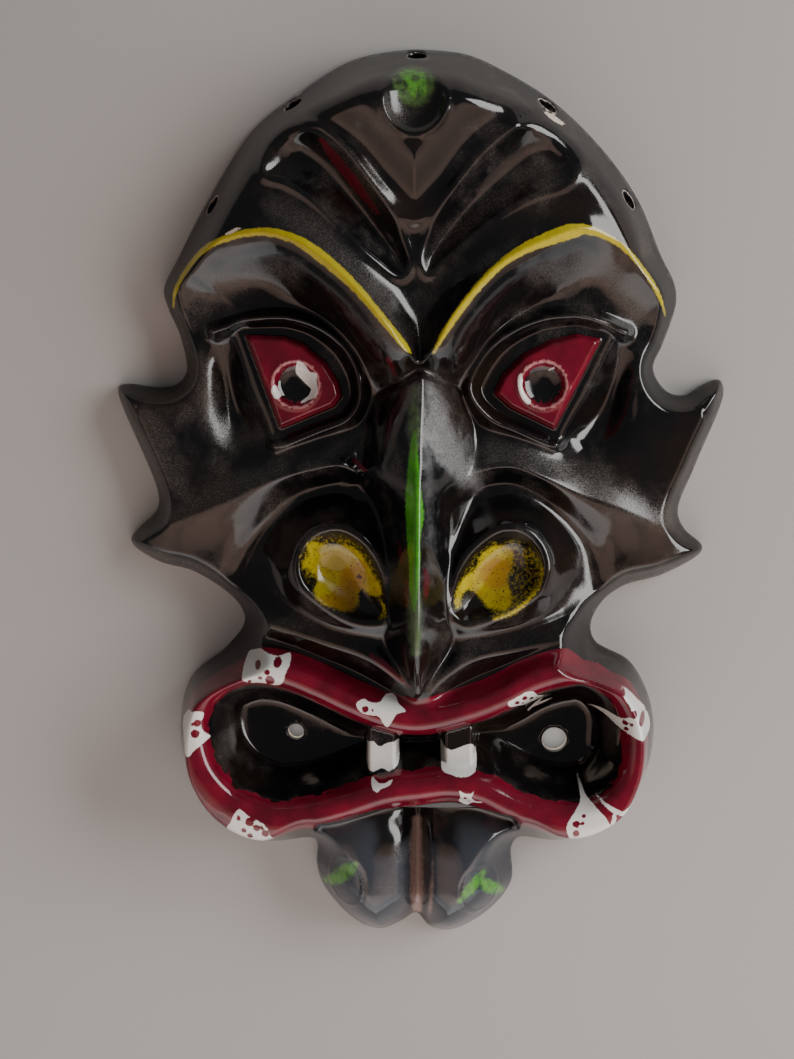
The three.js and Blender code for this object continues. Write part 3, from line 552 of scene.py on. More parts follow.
def relief(x, y):
    """The front surface before its edge falls away to the rim."""
    z = brow_and_forehead(x, y)
    add_crown(z, x, y)
    for index in (0, 1):
        add_temple(z, x, y, index)
        add_wing(z, x, y, index)
        add_eye(z, x, y, index)
        add_nostril(z, x, y, index)
    add_nose_and_moustache(z, x, y)
    add_tongue(z, x, y)
    add_mouth(z, x, y)
    return z


def inside_by(x, y):
    """Distance inside the outline."""
    distance, _, side = nearest(outline, x, y)
    return distance * side


def front_height(x, y, inward=None):
    """Height of the outside surface, which runs on at the same slope beyond the rim."""
    if inward is None:
        inward = inside_by(x, y)
    beside_mouth = smoothstep(-y, 62, 80) * smoothstep(np.abs(x), 42, 90)
    at_crown, at_tongue = smoothstep(y, 70, 150), smoothstep(-y, 145, 160)
    slope = SKIRT.slope + SKIRT.mouth_extra * beside_mouth
    rounding = SKIRT.rounding + SKIRT.crown_extra * at_crown + SKIRT.tongue_extra * at_tongue
    skirt = RIM_LAND + slope * np.maximum(inward, -SKIRT.past)
    return smooth_min(relief(x, y), skirt, rounding)


# Moves the outline's own plane so that its box is centred on the origin
SHIFT = -(outline.low + outline.high) / 2


def lattice(spacing):
    """Equilateral points over the outline's box, and which of them a lattice twice as wide has."""
    rise = spacing * math.sqrt(3) / 2
    columns = math.ceil((outline.high[0] - outline.low[0]) / spacing) + 1
    rows = math.ceil((outline.high[1] - outline.low[1]) / rise) + 1
    row, column = np.mgrid[0:rows, 0:columns]
    x = outline.low[0] + (column + (row % 2) / 2) * spacing
    y = outline.low[1] + row * rise
    wide = (row % 2 == 0) & ((column + row // 2) % 2 == 0)
    return x, y, wide


def inside_loop(loop, x, y):
    """Which points lie inside a closed polygon."""
    result = np.zeros(len(x), bool)
    for (ax, ay), (bx, by) in zip(np.roll(loop, 1, axis=0), loop):
        if ay != by:
            between = (ay > y) != (by > y)
            result ^= between & (x < ax + (y - ay) * (bx - ax) / (by - ay))
    return result


def clear_of(holes, x, y, gap):
    """Which points are outside some closed loops by at least a gap."""
    kept = np.ones(len(x), bool)
    for loop in holes:
        ring = Curve(loop, closed=True, smooth=False)
        mask, distance, _, side = near(ring, x, y, gap)
        kept[mask] &= distance * side < -gap
    return kept


def sheet(x, y, loops):
    """Triangles between loose points and closed loops; the loops' points come after the others."""
    px = np.concatenate([x] + [loop[:, 0] for loop in loops])
    py = np.concatenate([y] + [loop[:, 1] for loop in loops])
    edges = []
    first = len(x)
    for loop in loops:
        count = len(loop)
        edges += [(first + k, first + (k + 1) % count) for k in range(count)]
        first += count
    points = [Vector(p) for p in zip(px.tolist(), py.tolist())]
    found = delaunay_2d_cdt(points, edges, [], 0, SAME_POINT)
    given = np.array([sources[0] for sources in found[3]])
    corners = np.array(found[2])
    middle = np.array([tuple(p) for p in found[0]])[corners].mean(axis=1)
    kept = inside_loop(loops[0], middle[:, 0], middle[:, 1])
    for hole in loops[1:]:
        kept &= ~inside_loop(hole, middle[:, 0], middle[:, 1])
    return px, py, given[corners[kept]]


def blurred(height):
    """A grid of heights evened out over the neighbouring cells."""
    padded = np.pad(height, 1, mode="edge")
    down = (padded[:-2] + 2 * padded[1:-1] + padded[2:]) / 4
    return (down[:, :-2] + 2 * down[:, 1:-1] + down[:, 2:]) / 4


class Hollow:
    """Ceiling of the hollow back: a ball of the wall's radius rolled under the front surface."""

    def __init__(self):
        margin = WALL + 2 * HOLLOW_CELL
        self.corner = outline.low - margin
        size = np.ceil((outline.high - outline.low + 2 * margin) / HOLLOW_CELL).astype(int) + 1
        row, column = np.mgrid[0:size[1], 0:size[0]]
        x = self.corner[0] + column * HOLLOW_CELL
        y = self.corner[1] + row * HOLLOW_CELL
        front = front_height(x.ravel(), y.ravel()).reshape(x.shape)
        reach = math.ceil(WALL / HOLLOW_CELL)
        padded = np.pad(front, reach, mode="edge")
        self.ceiling = np.full(front.shape, np.inf)
        for dr in range(-reach, reach + 1):
            for dc in range(-reach, reach + 1):
                away = math.hypot(dr, dc) * HOLLOW_CELL
                if away > WALL:
                    continue
                rows = slice(reach + dr, reach + dr + front.shape[0])
                columns = slice(reach + dc, reach + dc + front.shape[1])
                lowered = padded[rows, columns] - math.sqrt(WALL ** 2 - away ** 2)
                self.ceiling = np.minimum(self.ceiling, lowered)
        # Slip fills the narrow clefts and rounds the inside corners
        self.ceiling = np.minimum(self.ceiling, blurred(blurred(self.ceiling)))

    def height(self, x, y):
        u = (np.asarray(x) - self.corner[0]) / HOLLOW_CELL
        v = (np.asarray(y) - self.corner[1]) / HOLLOW_CELL
        column = np.clip(np.floor(u).astype(int), 0, self.ceiling.shape[1] - 2)
        row = np.clip(np.floor(v).astype(int), 0, self.ceiling.shape[0] - 2)
        s, t = u - column, v - row
        low = self.ceiling[row, column] * (1 - s) + self.ceiling[row, column + 1] * s
        high = self.ceiling[row + 1, column] * (1 - s) + self.ceiling[row + 1, column + 1] * s
        return low * (1 - t) + high * t


def hole_line(centre, direction, radius):
    """Starting points round a drilled hole, and the direction in which it runs."""
    direction = np.array(direction, float) / np.linalg.norm(direction)
    across = np.cross(direction, (0, 0, 1) if abs(direction[2]) < 0.9 else (0, 1, 0))
    across /= np.linalg.norm(across)
    other = np.cross(direction, across)
    angle = np.linspace(0, 2 * math.pi, HOLE_SIDES, endpoint=False)[:, None]
    return np.array(centre) + radius * (np.cos(angle) * across + np.sin(angle) * other), direction


def where_it_meets(height_at, starts, direction, near_end, far_end):
    """Points at which lines pass through a surface: they start under it and end above it."""
    low = np.full(len(starts), float(near_end))
    high = np.full(len(starts), float(far_end))
    for _ in range(BISECTIONS):
        middle = (low + high) / 2
        point = starts + middle[:, None] * direction
        above = point[:, 2] > height_at(point[:, 0], point[:, 1])
        high = np.where(above, middle, high)
        low = np.where(above, low, middle)
    return starts + low[:, None] * direction


def rim_hole_direction(x, y):
    """A rim hole runs out and up from the middle of the forehead."""
    up = y - RIM_HOLE_AIM.y
    direction = np.array([x, up, RIM_HOLE_AIM.rise * math.hypot(x, up)])
    return direction / np.linalg.norm(direction)


def holes_through(hollow):
    """Front and back rings of every round hole."""
    rings = []
    for x, y in RIM_HOLES:
        outward = rim_hole_direction(x, y)
        starts, direction = hole_line((x, y, RIM_HOLE_HEIGHT), outward, RIM_HOLE_RADIUS)
        front = where_it_meets(front_height, starts, direction, *RIM_HOLE_FRONT)
        back = where_it_meets(hollow.height, starts, direction, *RIM_HOLE_BACK)
        rings.append((front, back))
    for x, y, radius in MOUTH_HOLES:
        starts, direction = hole_line((x, y, 0), (0, 0, 1), radius)
        front = where_it_meets(front_height, starts, direction, *MOUTH_HOLE_ENDS)
        back = where_it_meets(hollow.height, starts, direction, *MOUTH_HOLE_ENDS)
        rings.append((front, back))
    return rings


def outline_ring(inset):
    """The outline moved inwards by an inset."""
    points = outline.samples[:, :2]
    along = np.roll(points, -1, axis=0) - np.roll(points, 1, axis=0)
    along /= np.linalg.norm(along, axis=1)[:, None]
    inward = np.stack([along[:, 1], -along[:, 0]], axis=1)
    return points + inset * inward


def front_points():
    """Close together where the surface bends sharply, and wider apart elsewhere."""
    x, y, wide = lattice(FINE_LATTICE)
    inward = inside_by(x.ravel(), y.ravel())
    z = front_height(x.ravel(), y.ravel(), inward).reshape(x.shape)
    bend = np.zeros(z.shape)
    bend[:, 1:-1] = np.abs(z[:, 2:] + z[:, :-2] - 2 * z[:, 1:-1])
    # Two rows off is 1.7 times as far as the next point of a row, and a bend grows as its square
    bend[2:-2] = np.maximum(bend[2:-2], np.abs(z[4:] + z[:-4] - 2 * z[2:-2]) / 3)
    sharp = bend > BEND_LIMIT
    for _ in range(SHARP_MARGIN):
        grown = sharp.copy()
        grown[1:] |= sharp[:-1]
        grown[:-1] |= sharp[1:]
        grown[:, 1:] |= sharp[:, :-1]
        grown[:, :-1] |= sharp[:, 1:]
        sharp = grown
    kept = (wide | sharp) & (inward.reshape(x.shape) > FRONT_GAP)
    return x[kept], y[kept], z[kept]


def back_points(hollow):
    """Wide apart, with closer points pushed onto the edge between flat rim and hollow."""
    x, y, wide = lattice(BACK_LATTICE)
    x, y, wide = x.ravel(), y.ravel(), wide.ravel()
    z = hollow.height(x, y)
    step = SLOPE_STEP
    slope_x = (hollow.height(x + step, y) - hollow.height(x - step, y)) / (2 * step)
    slope_y = (hollow.height(x, y + step) - hollow.height(x, y - step)) / (2 * step)
    steepness2 = np.maximum(slope_x ** 2 + slope_y ** 2, LEVEL)
    away = np.abs(z) / np.sqrt(steepness2)
    snapped = away < SNAP_REACH
    x = np.where(snapped, x - slope_x * z / steepness2, x)
    y = np.where(snapped, y - slope_y * z / steepness2, y)
    kept = snapped | wide | (away < CLOSE_REACH)
    x, y = x[kept], y[kept]
    kept = inside_by(x, y) > BACK_GAP + FOOT_ROUNDING
    x, y = x[kept], y[kept]
    z = np.maximum(0, hollow.height(x, y))
    return x, y, np.where(z < FLAT, 0, z)


class Shell:
    """Vertices and faces of the whole mask as they are put together."""

    def __init__(self):
        self.points = []
        self.faces = []
        self.bare = []
        self.count = 0

    def add(self, points):
        self.points.append(np.asarray(points, float))
        first = self.count
        self.count += len(points)
        return first

    def add_faces(self, faces, bare):
        self.faces += [tuple(int(v) for v in face) for face in faces]
        self.bare += [bare] * len(faces)

    def band(self, first, second, count, bare):
        """Quads between two rings of the same number of points."""
        ahead = [(k + 1) % count for k in range(count)]
        faces = [(first + k, first + ahead[k], second + ahead[k], second + k)
                 for k in range(count)]
        self.add_faces(faces, bare)


def add_sheet(shell, loose, border, border_height, rings, gap, bare):
    """A net between loose points, the border and the holes' rings; gives its border's start."""
    x, y, z = loose
    loops = [border] + [ring[:, :2] for ring in rings]
    kept = clear_of(loops[1:], x, y, gap)
    px, py, faces = sheet(x[kept], y[kept], loops)
    border_z = np.full(len(border), float(border_height))
    pz = np.concatenate([z[kept], border_z] + [ring[:, 2] for ring in rings])
    first = shell.add(np.stack([px, py, pz], axis=1))
    shell.add_faces(first + (faces[:, ::-1] if bare else faces), bare)
    return first + kept.sum()


def build_shell():
    """The glazed front down to its foot, the bare back, and the walls of the holes."""
    shell = Shell()
    hollow = Hollow()
    rings = holes_through(hollow)
    border = outline_ring(0)
    border_in = outline_ring(FOOT_INSET)
    sides = len(border)
    fronts = [front for front, _ in rings]
    front_rim = add_sheet(shell, front_points(), border, RIM_LAND, fronts, FRONT_GAP, False)
    edge = shell.add(np.c_[border, np.full(sides, FOOT_ROUNDING)])
    shell.band(front_rim, edge, sides, False)
    backs = [back for _, back in rings]
    back_rim = add_sheet(shell, back_points(hollow), border_in, 0, backs, BACK_GAP, True)
    shell.band(edge, back_rim, sides, True)
    for number, (front, back) in enumerate(rings):
        past = sides + number * HOLE_SIDES
        add_hole_wall(shell, front_rim + past, back_rim + past, front, back)
    return shell


def add_hole_wall(shell, front_ring, back_ring, front, back):
    """The wall of a drilled hole, in a few rows so that it shades well."""
    count = len(front)
    previous = front_ring
    for share in HOLE_WALL_ROWS:
        row = shell.add(front + (back - front) * share)
        shell.band(previous, row, count, share > 0.5)
        previous = row
    shell.band(previous, back_ring, count, True)


def mesh_from(shell, name):
    points = np.concatenate(shell.points)
    points[:, :2] += SHIFT
    room = np.array([tuple(corner) for corner in CAD_BOX]) / MM
    points *= np.minimum(1, (room[1] - room[0]) / (points.max(axis=0) - points.min(axis=0)))
    mesh = bpy.data.meshes.new(name)
    mesh.from_pydata((points * MM).tolist(), [], shell.faces)
    mesh.update()
    return mesh, points


# Paint, worked out as the distance inside each painted shape's edge, in millimetres.
# The third number of a stroke's point is half its width.
BROW_STROKES = [
    [(-102, 79, 0.5), (-99, 87.5, 1.0), (-94, 95, 1.2), (-87, 101.5, 1.3), (-77, 106, 1.3),
     (-62, 108.5, 1.6), (-48.5, 105.5, 1.9), (-37, 98, 2.3), (-24, 86.5, 1.8), (-11.5, 72, 1.5),
     (-4.5, 63.5, 1.2), (-2, 60.5, 0.3)],
    [(7, 60.5, 0.4), (10, 66.5, 1.1), (22, 83.5, 1.5), (33, 95, 1.6), (42, 101, 2.0),
     (51, 105, 2.6), (62, 108.5, 2.8), (68, 109, 1.8), (81, 103.5, 1.1), (90, 95, 0.9),
     (97, 85.5, 0.9), (102, 75.5, 0.3)],
]
NOSE_STROKE = [
    (-0.4, 30, 0.4), (-0.6, 24, 1.4), (-0.7, 16, 2.2), (-0.6, 3, 3.3), (-0.2, -3, 3.6),
    (-0.6, -11, 2.8), (-0.1, -22, 2.2), (-0.3, -33, 1.6), (-0.2, -40, 0.5),
]
# The thin, washed ends of the green stroke on the nose
WASHED_STROKES = [
    [(-0.4, 46.5, 1.1), (-0.8, 38, 1.9), (-0.4, 28, 2.1), (-0.7, 20, 1)],
    [(-0.1, -24, 1.2), (-0.3, -35, 2.4), (0.2, -48, 2.3), (0.3, -57.5, 1.6)],
]
TONGUE_STROKES = [
    [(-40, -168.5, 1.2), (-34, -162.5, 2.4), (-28, -156, 2.6), (-25, -153, 1)],
    [(18.5, -168.5, 1), (23, -163.5, 2.2), (28, -158, 1.6)],
    [(27.5, -161, 1.2), (32, -166, 2.4), (37, -172, 1.2)],
]
CROWN_DAB = [
    (-6.7, 171.6), (-3.6, 172.4), (-0.6, 172), (2.1, 170.7), (3.4, 167.8), (4, 164.9),
    (3.6, 161.1), (2.1, 160.7), (0.2, 162.8), (-1, 158.6), (-2.5, 161.9), (-3.6, 163.2),
    (-4, 165.7), (-5.5, 168.4), (-6.9, 169.5),
]
CROWN_DAB_GAP = (-0.4, 167.8, 1.5)
CROWN_FILM = [
    (-9, 171), (-4, 174), (2, 173.5), (6, 170), (7, 164), (5, 159), (-1, 156.5), (-6, 159),
    (-9, 164),
]
RED_STROKES = [
    [(-38, 144.5, 0.8), (-33, 138, 1.8), (-28.5, 132.5, 2), (-21, 123, 1.6), (-15.5, 116, 0.7)],
    [(-18.5, -62, 0.7), (-13, -66, 1.6), (-7.5, -71, 1.3), (-2, -75, 0.5)],
    [(-11, 58, 1.1), (-8.5, 52, 0.7)],
    [(-25.5, 16.5, 1.1), (-21, 12.5, 0.8)],
    [(-6.5, -15, 0.4), (-6, -19, 0.9), (-5.5, -23, 0.5)],
    [(4, -24, 0.5), (4.8, -29, 1.2), (4.4, -36, 0.6)],
    [(-3.5, -28, 0.5), (-3.2, -35, 0.9), (-3.5, -41, 0.4)],
]
YELLOW_PATCHES = [
    [(-44, -17), (-41.5, -15.5), (-39, -17), (-34, -18), (-29, -17.5), (-26, -18.5),
     (-22.5, -21), (-20.5, -24.5), (-17.5, -29.5), (-15, -33), (-14, -37), (-15.5, -38.5),
     (-19.5, -38), (-22.5, -36), (-24, -38), (-23.5, -41), (-25, -43.5), (-29, -44),
     (-35.5, -42), (-40, -39.5), (-41.5, -36.5), (-40.5, -32), (-43, -28.5),
     (-45.5, -26.5), (-46, -24), (-44, -22)],
    [(16, -42), (16.5, -36), (19, -31), (22, -29), (24.5, -26.5), (26.5, -21.5), (30.5, -18),
     (35, -17.5), (39, -19), (39.5, -23), (38.5, -28), (37.5, -32), (38.5, -36),
     (39, -40), (37, -43), (32.5, -43.5), (29, -42.5), (26, -39), (23.5, -36.5),
     (20.5, -36), (18.5, -38.5), (17.5, -43)],
]
THIN_YELLOW_PATCHES = [
    [(-45.5, -19), (-42, -14.5), (-36, -13.5), (-28, -14.5), (-22, -18.5), (-18, -25),
     (-14.5, -33), (-18, -34), (-24, -30), (-34, -28), (-42, -33), (-45, -30), (-47, -24)],
    [(36, -16), (43, -16.5), (48, -20), (50.5, -26.5), (48.5, -33.5), (44, -39.5), (38, -44.5),
     (31, -46.5), (34, -38), (36, -28)],
    [(19, -32), (23, -24), (28, -18), (33, -16), (32, -24), (26, -32)],
]
YELLOW_RIM_STROKES = [
    [(51.3, -26, 0.3), (49.5, -33.5, 0.5), (44.5, -40, 0.6), (39, -44.5, 0.7), (32, -47, 0.4)],
    [(-14.5, -40, 0.3), (-13, -42.5, 0.4), (-13.2, -46, 0.4), (-14.8, -47, 0.3)],
]
DARK_DROP = (-23.5, -31, 1.2)
# A pale painted reflection on the yellow of the left nostril
PALE_REFLECTION_PATCH = [
    (-39, -23.5), (-35.5, -21), (-31.5, -20.5), (-27.5, -21.5), (-26.5, -24), (-28.5, -26.5),
    (-31, -28.5), (-34, -28.5), (-38, -26.5),
]
AMBER_PATCHES = [
    [(-31, -30), (-27, -26.5), (-23, -24), (-20.5, -25.5), (-21.5, -32.5), (-22.5, -36.5),
     (-24.5, -37.5), (-25, -44), (-29.5, -44.5), (-35, -42.5), (-39, -39.5), (-32.5, -36.5)],
    [(26, -29), (29, -24.5), (33, -23), (38, -24.5), (37.5, -31), (35.5, -35.5), (31, -35.5),
     (27.5, -33)],
]
# White splashes on the lips, and the round gaps in them that let the red through
SPLASHES = [
    [(-71.5, -67.5), (-70.5, -64.5), (-67.5, -63), (-64.5, -62), (-60, -63), (-56.5, -63.5),
     (-52, -63), (-51.5, -66), (-53, -69.5), (-54, -73), (-57, -75), (-60.5, -74.5),
     (-64.5, -74), (-67.5, -74), (-70.5, -73), (-71.5, -70.5)],
    [(-92, -86), (-89, -85.5), (-87, -86.5), (-88, -90.5), (-87.5, -94), (-86, -96),
     (-85, -97.5), (-86.5, -98.5), (-89, -100.5), (-91.5, -102.5), (-93, -104.5),
     (-94.5, -104.5), (-96.5, -101), (-99, -97), (-99, -93.5), (-96.5, -89.5), (-94.5, -87)],
    [(-72.5, -126.5), (-70, -128.5), (-67, -130.5), (-63.5, -132), (-61, -134.5), (-60, -138),
     (-59.5, -142), (-63.5, -141.5), (-68, -141.5), (-72.5, -141), (-77, -139), (-78.5, -136),
     (-76.5, -132.5), (-75, -129)],
    [(-24, -81.5), (-21.5, -80), (-18, -81.5), (-14.5, -81.5), (-12.5, -79.5), (-10, -79),
     (-8, -80.5), (-7, -82.5), (-4, -85), (-7.5, -86), (-9, -88), (-10.5, -90.5),
     (-11.5, -92), (-13.5, -89.5), (-15, -87), (-18, -86.5), (-21, -86), (-23.5, -84)],
    [(-18, -114), (-15.5, -115.5), (-12.5, -115.5), (-9.5, -114), (-10.5, -116), (-14, -117.5),
     (-16, -119), (-18, -117)],
    [(18, -117.5), (20, -119), (22.5, -119), (24, -118), (23, -121), (25, -123), (28, -122.5),
     (26, -124), (23.5, -124.5), (21.5, -126.5), (18, -124.5), (18.5, -121)],
    [(37.5, -81), (40, -79.5), (42.5, -78), (45, -76.5), (48, -76.5), (50, -79), (53, -80.5),
     (51, -82.5), (48, -84), (44.5, -84.5), (42, -83.5), (39, -83.5)],
    [(84, -75.5), (86.5, -76.5), (89, -79), (91.5, -82), (94.5, -85.5), (96.5, -89),
     (98, -92.5), (98, -96.5), (93, -96.5), (89, -95), (86, -93.5), (82.5, -92), (79, -90),
     (75, -88.5), (72, -88), (79, -87.5), (83.5, -88), (86.5, -87), (87.5, -84.5), (87, -82),
     (85, -79.5)],
    [(67.5, -115.5), (69, -118.5), (70.5, -121.5), (73, -123.5), (75.5, -126), (78, -128.5),
     (79.5, -131.5), (80.5, -134), (79.5, -136.5), (76.5, -139), (72, -140.5), (68, -141),
     (64.5, -140.5), (63, -137), (62, -133), (63, -130), (65.5, -126.5), (68, -123),
     (68, -119.5)],
]
SPLASH_STROKES = [
    [(53, -83, 0.3), (50.5, -86.5, 0.7), (47, -90.5, 0.4)],
    [(57.5, -84.5, 0.2), (53.5, -86.5, 0.6), (49.5, -88.5, 0.3)],
    [(96.5, -114, 0.5), (92, -119.5, 1.3), (89.5, -124, 1.4), (85.5, -127, 1)],
    [(74.5, -120.5, 0.2), (79, -124, 0.8), (84.5, -127, 1)],
    [(80.5, -124.5, 0.3), (81.5, -128, 0.8), (81, -131.5, 0.9)],
]
SPLASH_GAPS = [
    (-65, -67, 1.4), (-56.5, -65.5, 1.7), (-60.5, -69, 1.2), (-59.5, -72.5, 2), (-63.5, -71.5, 0.9),
    (-68, -73, 0.7), (-89.5, -90.5, 1.5), (-90.5, -95, 1.8), (-91.5, -91, 0.7),
    (-73, -130.5, 1.2), (-68.5, -132, 1.9), (-71, -136, 1.2), (-65.5, -134.5, 1.5),
    (-68.5, -138.5, 1.3), (-62, -137, 1.6), (-63, -134.5, 0.9), (-20.5, -84, 1.4),
    (-17.5, -84.5, 0.6), (88.5, -85.5, 1.7), (93, -89, 2.1), (85.5, -89.5, 1.1), (88, -89.8, 0.8),
    (86, -92, 0.9), (84.5, -77, 1), (66, -131.5, 1.6), (66, -135.5, 1.5), (69, -128, 0.9),
    (68.6, -131, 0.8), (41.5, -81.5, 1), (44.5, -79.5, 1.2), (47.5, -80.5, 1), (50, -81.5, 0.6),
    (44, -82.5, 0.6), (20.5, -121.5, 0.8), (22, -123.8, 0.6),
]
TOOTH_PAINT = [
    [(-20.5, -101), (-18, -99.5), (-15, -102), (-12.5, -100.5), (-8, -100), (-7.3, -105),
     (-7.6, -110), (-11.5, -112), (-14, -111), (-18, -112.5), (-21, -110), (-21, -105.5)],
    [(10.5, -102), (15, -103), (19, -101.5), (23, -100.5), (24.5, -104), (25.2, -107.5),
     (24.6, -111), (21, -112.5), (17.5, -112.5), (14, -111.5), (11, -110.5), (10.4, -107.5)],
]
PUPIL_WHITE = [
    [(-49.5, 55), (-48.5, 57), (-47, 56.5), (-45.5, 55), (-43.5, 52.5), (-41, 52), (-41, 49),
     (-40.5, 45.5), (-41.5, 42.5), (-44.5, 41), (-48, 39.5), (-47, 41), (-44.5, 43),
     (-43.5, 45.5), (-45.5, 47.5), (-47.5, 49.5), (-49.5, 52)],
    [(-59.5, 45.5), (-58, 47.5), (-57, 45.5), (-55.5, 43), (-57.5, 41.5), (-59, 43)],
    [(42, 52.5), (43, 50), (43, 46.5), (44.5, 43.5), (46.5, 40.5), (45.5, 39.5), (43, 41.5),
     (41.5, 45.5), (41, 49.5)],
    [(53, 53), (55, 54.5), (56.5, 55), (56, 54)],
]
PUPIL_BLACK_RADIUS = 7.4
RUBBED_STROKES = [
    [(8, 44, 4), (13, 28, 6), (22, 12, 6)],
    [(-34, 143, 1), (-25, 135, 2.5), (-14, 122, 2)],
    [(-27, 96, 2), (-15, 82, 4), (-5, 66, 2)],
    [(6, 98, 1), (22, 114, 2.5), (44, 130, 2)],
    [(30, 20, 3), (48, 17, 4), (76, 5, 4), (104, -9, 3)],
    [(-104, -8, 2), (-80, 3, 3), (-56, 13, 2)],
    [(-112, 34, 3), (-106, 16, 4), (-96, 0, 3)],
    [(-90, 55, 3), (-87, 38, 4), (-80, 25, 3)],
    [(-88, 76, 3), (-72, 92, 4), (-50, 92, 3)],
    [(50, 92, 3), (72, 94, 4), (90, 76, 3)],
    [(-55, 118, 4), (-38, 106, 4), (-24, 92, 3)],
]
# Painted sheen: pale grey laid where the window glows on the nose's right flank and along the
# bright gloss line beside the green stroke; it also lies under that stroke's washed ends
PAINTED_SHEEN_STROKES = [
    [(5, 47, 1), (8, 38, 3.5), (11, 28, 4.5), (16, 17, 4.5), (24, 8, 3)],
    [(3.5, 30, 0.8), (5.5, 10, 1), (6, -10, 0.8), (5.5, -30, 0.6)],
    *WASHED_STROKES,
]
# The painted blue-grey reflection on the tongue's two lobes, and the painted tan reflection in its
# groove
TONGUE_REFLECTION = [
    [(-46, -150), (-38, -139), (-28, -135), (-18, -136), (-16, -149), (-9, -150), (-5, -146),
     (-4.5, -184), (-12, -192), (-26, -190), (-38, -179), (-46, -166)],
    [(45, -150), (36, -138), (27, -135), (18, -136), (17, -149), (10, -150), (6, -146),
     (5, -184), (14, -192), (26, -190), (37, -179), (44, -166)],
]
TAN_REFLECTION_STROKES = [
    [(0.2, -138, 1.7), (0, -150, 2.3), (0.3, -165, 2.5), (0, -181, 2)],
    [(6.8, -148, -0.6), (6.9, -158, 0.1), (6.2, -169, 0.6), (5.6, -179, 0.5), (5, -186, -0.6)],
]
CRAZED_STROKES = [
    [(-98, 76, 5), (-82, 88, 8), (-60, 88, 6)],
    [(58, 84, 6), (80, 82, 8), (96, 66, 5)],
    [(10, 104, 2), (28, 118, 4), (48, 132, 4)],
    [(8, -70, 3), (30, -60, 4)],
]
PALE_CHIPS = [
    [(51, 157, 0.5), (54.5, 154.7, 1.3), (57.5, 153, 1.1), (60, 151.8, 0.4)],
    [(-77, 107.5, 0.3), (-73.5, 109, 0.7), (-70, 110.5, 0.3)],
    [(-47, 168.5, 0.2), (-50, 166.5, 0.9)],
]
# How far the red of the lips goes inwards and outwards, and down their outer side
LIP_PAINT = Sizes(inner=7.4, outer=9.2, down=0.45)
HOLE_CHIP = Sizes(width=0.35, reach=4, depth=25)
DIMPLE_LINE = Sizes(half_width=7.5, half_height=12, half=0.5, softness=0.7, height=0.30)
PINK_RING_HALF_WIDTH = 0.45
# How far from its shape a paint's distance is worked out, what stands for farther off, and
# the length of the straight pieces of its curve
PAINT_REACH = 12
WIDE_REACH = 24
FAR = -60.0
PAINT_STEP = 2

# How far a paint's edge wanders, over what length, and how soft it is, in millimetres
PAINT_EDGES = {
    # Painted sheen on the face
    "milky": (9.0, 5.0, 3.0),
    # Painted reflections on the tongue and in its groove
    "tongue_film": (3.0, 7.0, 3.5),
    "tan": (2.2, 2.4, 1.0),
    "plate": (0.5, 3.0, 0.2),
    "red": (1.2, 1.2, 0.5),
    "pink_ring": (2.6, 1.6, 0.35),
    "yellow": (3.6, 1.1, 0.9),
    "thin_yellow": (4.0, 2.0, 1.5),
    "brow_line": (1.3, 2.2, 0.35),
    "amber": (2.5, 3.0, 1.6),
    # Painted reflection in the left nostril
    "pale_yellow": (1.0, 2.0, 0.3),
    "dark_drop": (0.3, 1.0, 0.15),
    "green": (1.6, 1.6, 0.5),
    "green_film": (3.0, 2.4, 1.2),
    "faint_green": (2.6, 2.4, 1.1),
    "pupil_black": (5.0, 1.6, 0.6),
    "white": (0.8, 1.2, 0.15),
    "chip": (1.2, 1.0, 0.1),
}
# The red of the lips wanders farther at its inner edge than at its outer one
LIP_EDGE = Sizes(outer_wander=0.9, inner_wander=5.5, size=9.0, softness=0.2, turn=(-1.0, 3.0))

# Colours of the glazes and of the clay, and of the painted sheen and painted reflections
BLACK_GLAZE = (0.004, 0.004, 0.005, 1)
BROWN_GLAZE = (0.011, 0.007, 0.005, 1)
FROST = (0.16, 0.14, 0.125, 1)
# Painted sheen: a pale grey standing for the window's glow on the nose
PAINTED_SHEEN = (0.30, 0.31, 0.32, 1)
# Painted reflections: blue-grey on the tongue's lobes, tan in its groove
BLUE_REFLECTION = (0.27, 0.33, 0.42, 1)
TAN_REFLECTION = (0.30, 0.205, 0.175, 1)
DARK_RED = (0.030, 0.003, 0.004, 1)
DEEP_RED = (0.095, 0.004, 0.013, 1)
BRIGHT_RED = (0.19, 0.006, 0.022, 1)
PINK = (0.62, 0.30, 0.30, 1)
YELLOW = (0.47, 0.39, 0.012, 1)
DULL_YELLOW = (0.33, 0.25, 0.012, 1)
AMBER = (0.33, 0.165, 0.010, 1)
# The pale yellow of a painted reflection in the left nostril
PALE_REFLECTION_YELLOW = (0.44, 0.35, 0.09, 1)
GREEN = (0.07, 0.36, 0.015, 1)
PALE_GREEN = (0.13, 0.36, 0.05, 1)
WASHED_GREEN = (0.13, 0.26, 0.07, 1)
DARK_GREEN = (0.03, 0.17, 0.012, 1)
WHITE = (0.72, 0.71, 0.68, 1)
CLAY = (0.60, 0.52, 0.43, 1)
STAINED_CLAY = (0.50, 0.41, 0.32, 1)
FLOOR_GREY = (0.42, 0.41, 0.40, 1)
# The greens: how thinly and how fully each covers, and its two colours
GREENS = {
    "green": (0.75, 1.0, GREEN, DARK_GREEN),
    "green_film": (0.10, 0.45, WASHED_GREEN, WASHED_GREEN),
    "faint_green": (0.20, 0.75, PALE_GREEN, GREEN),
}

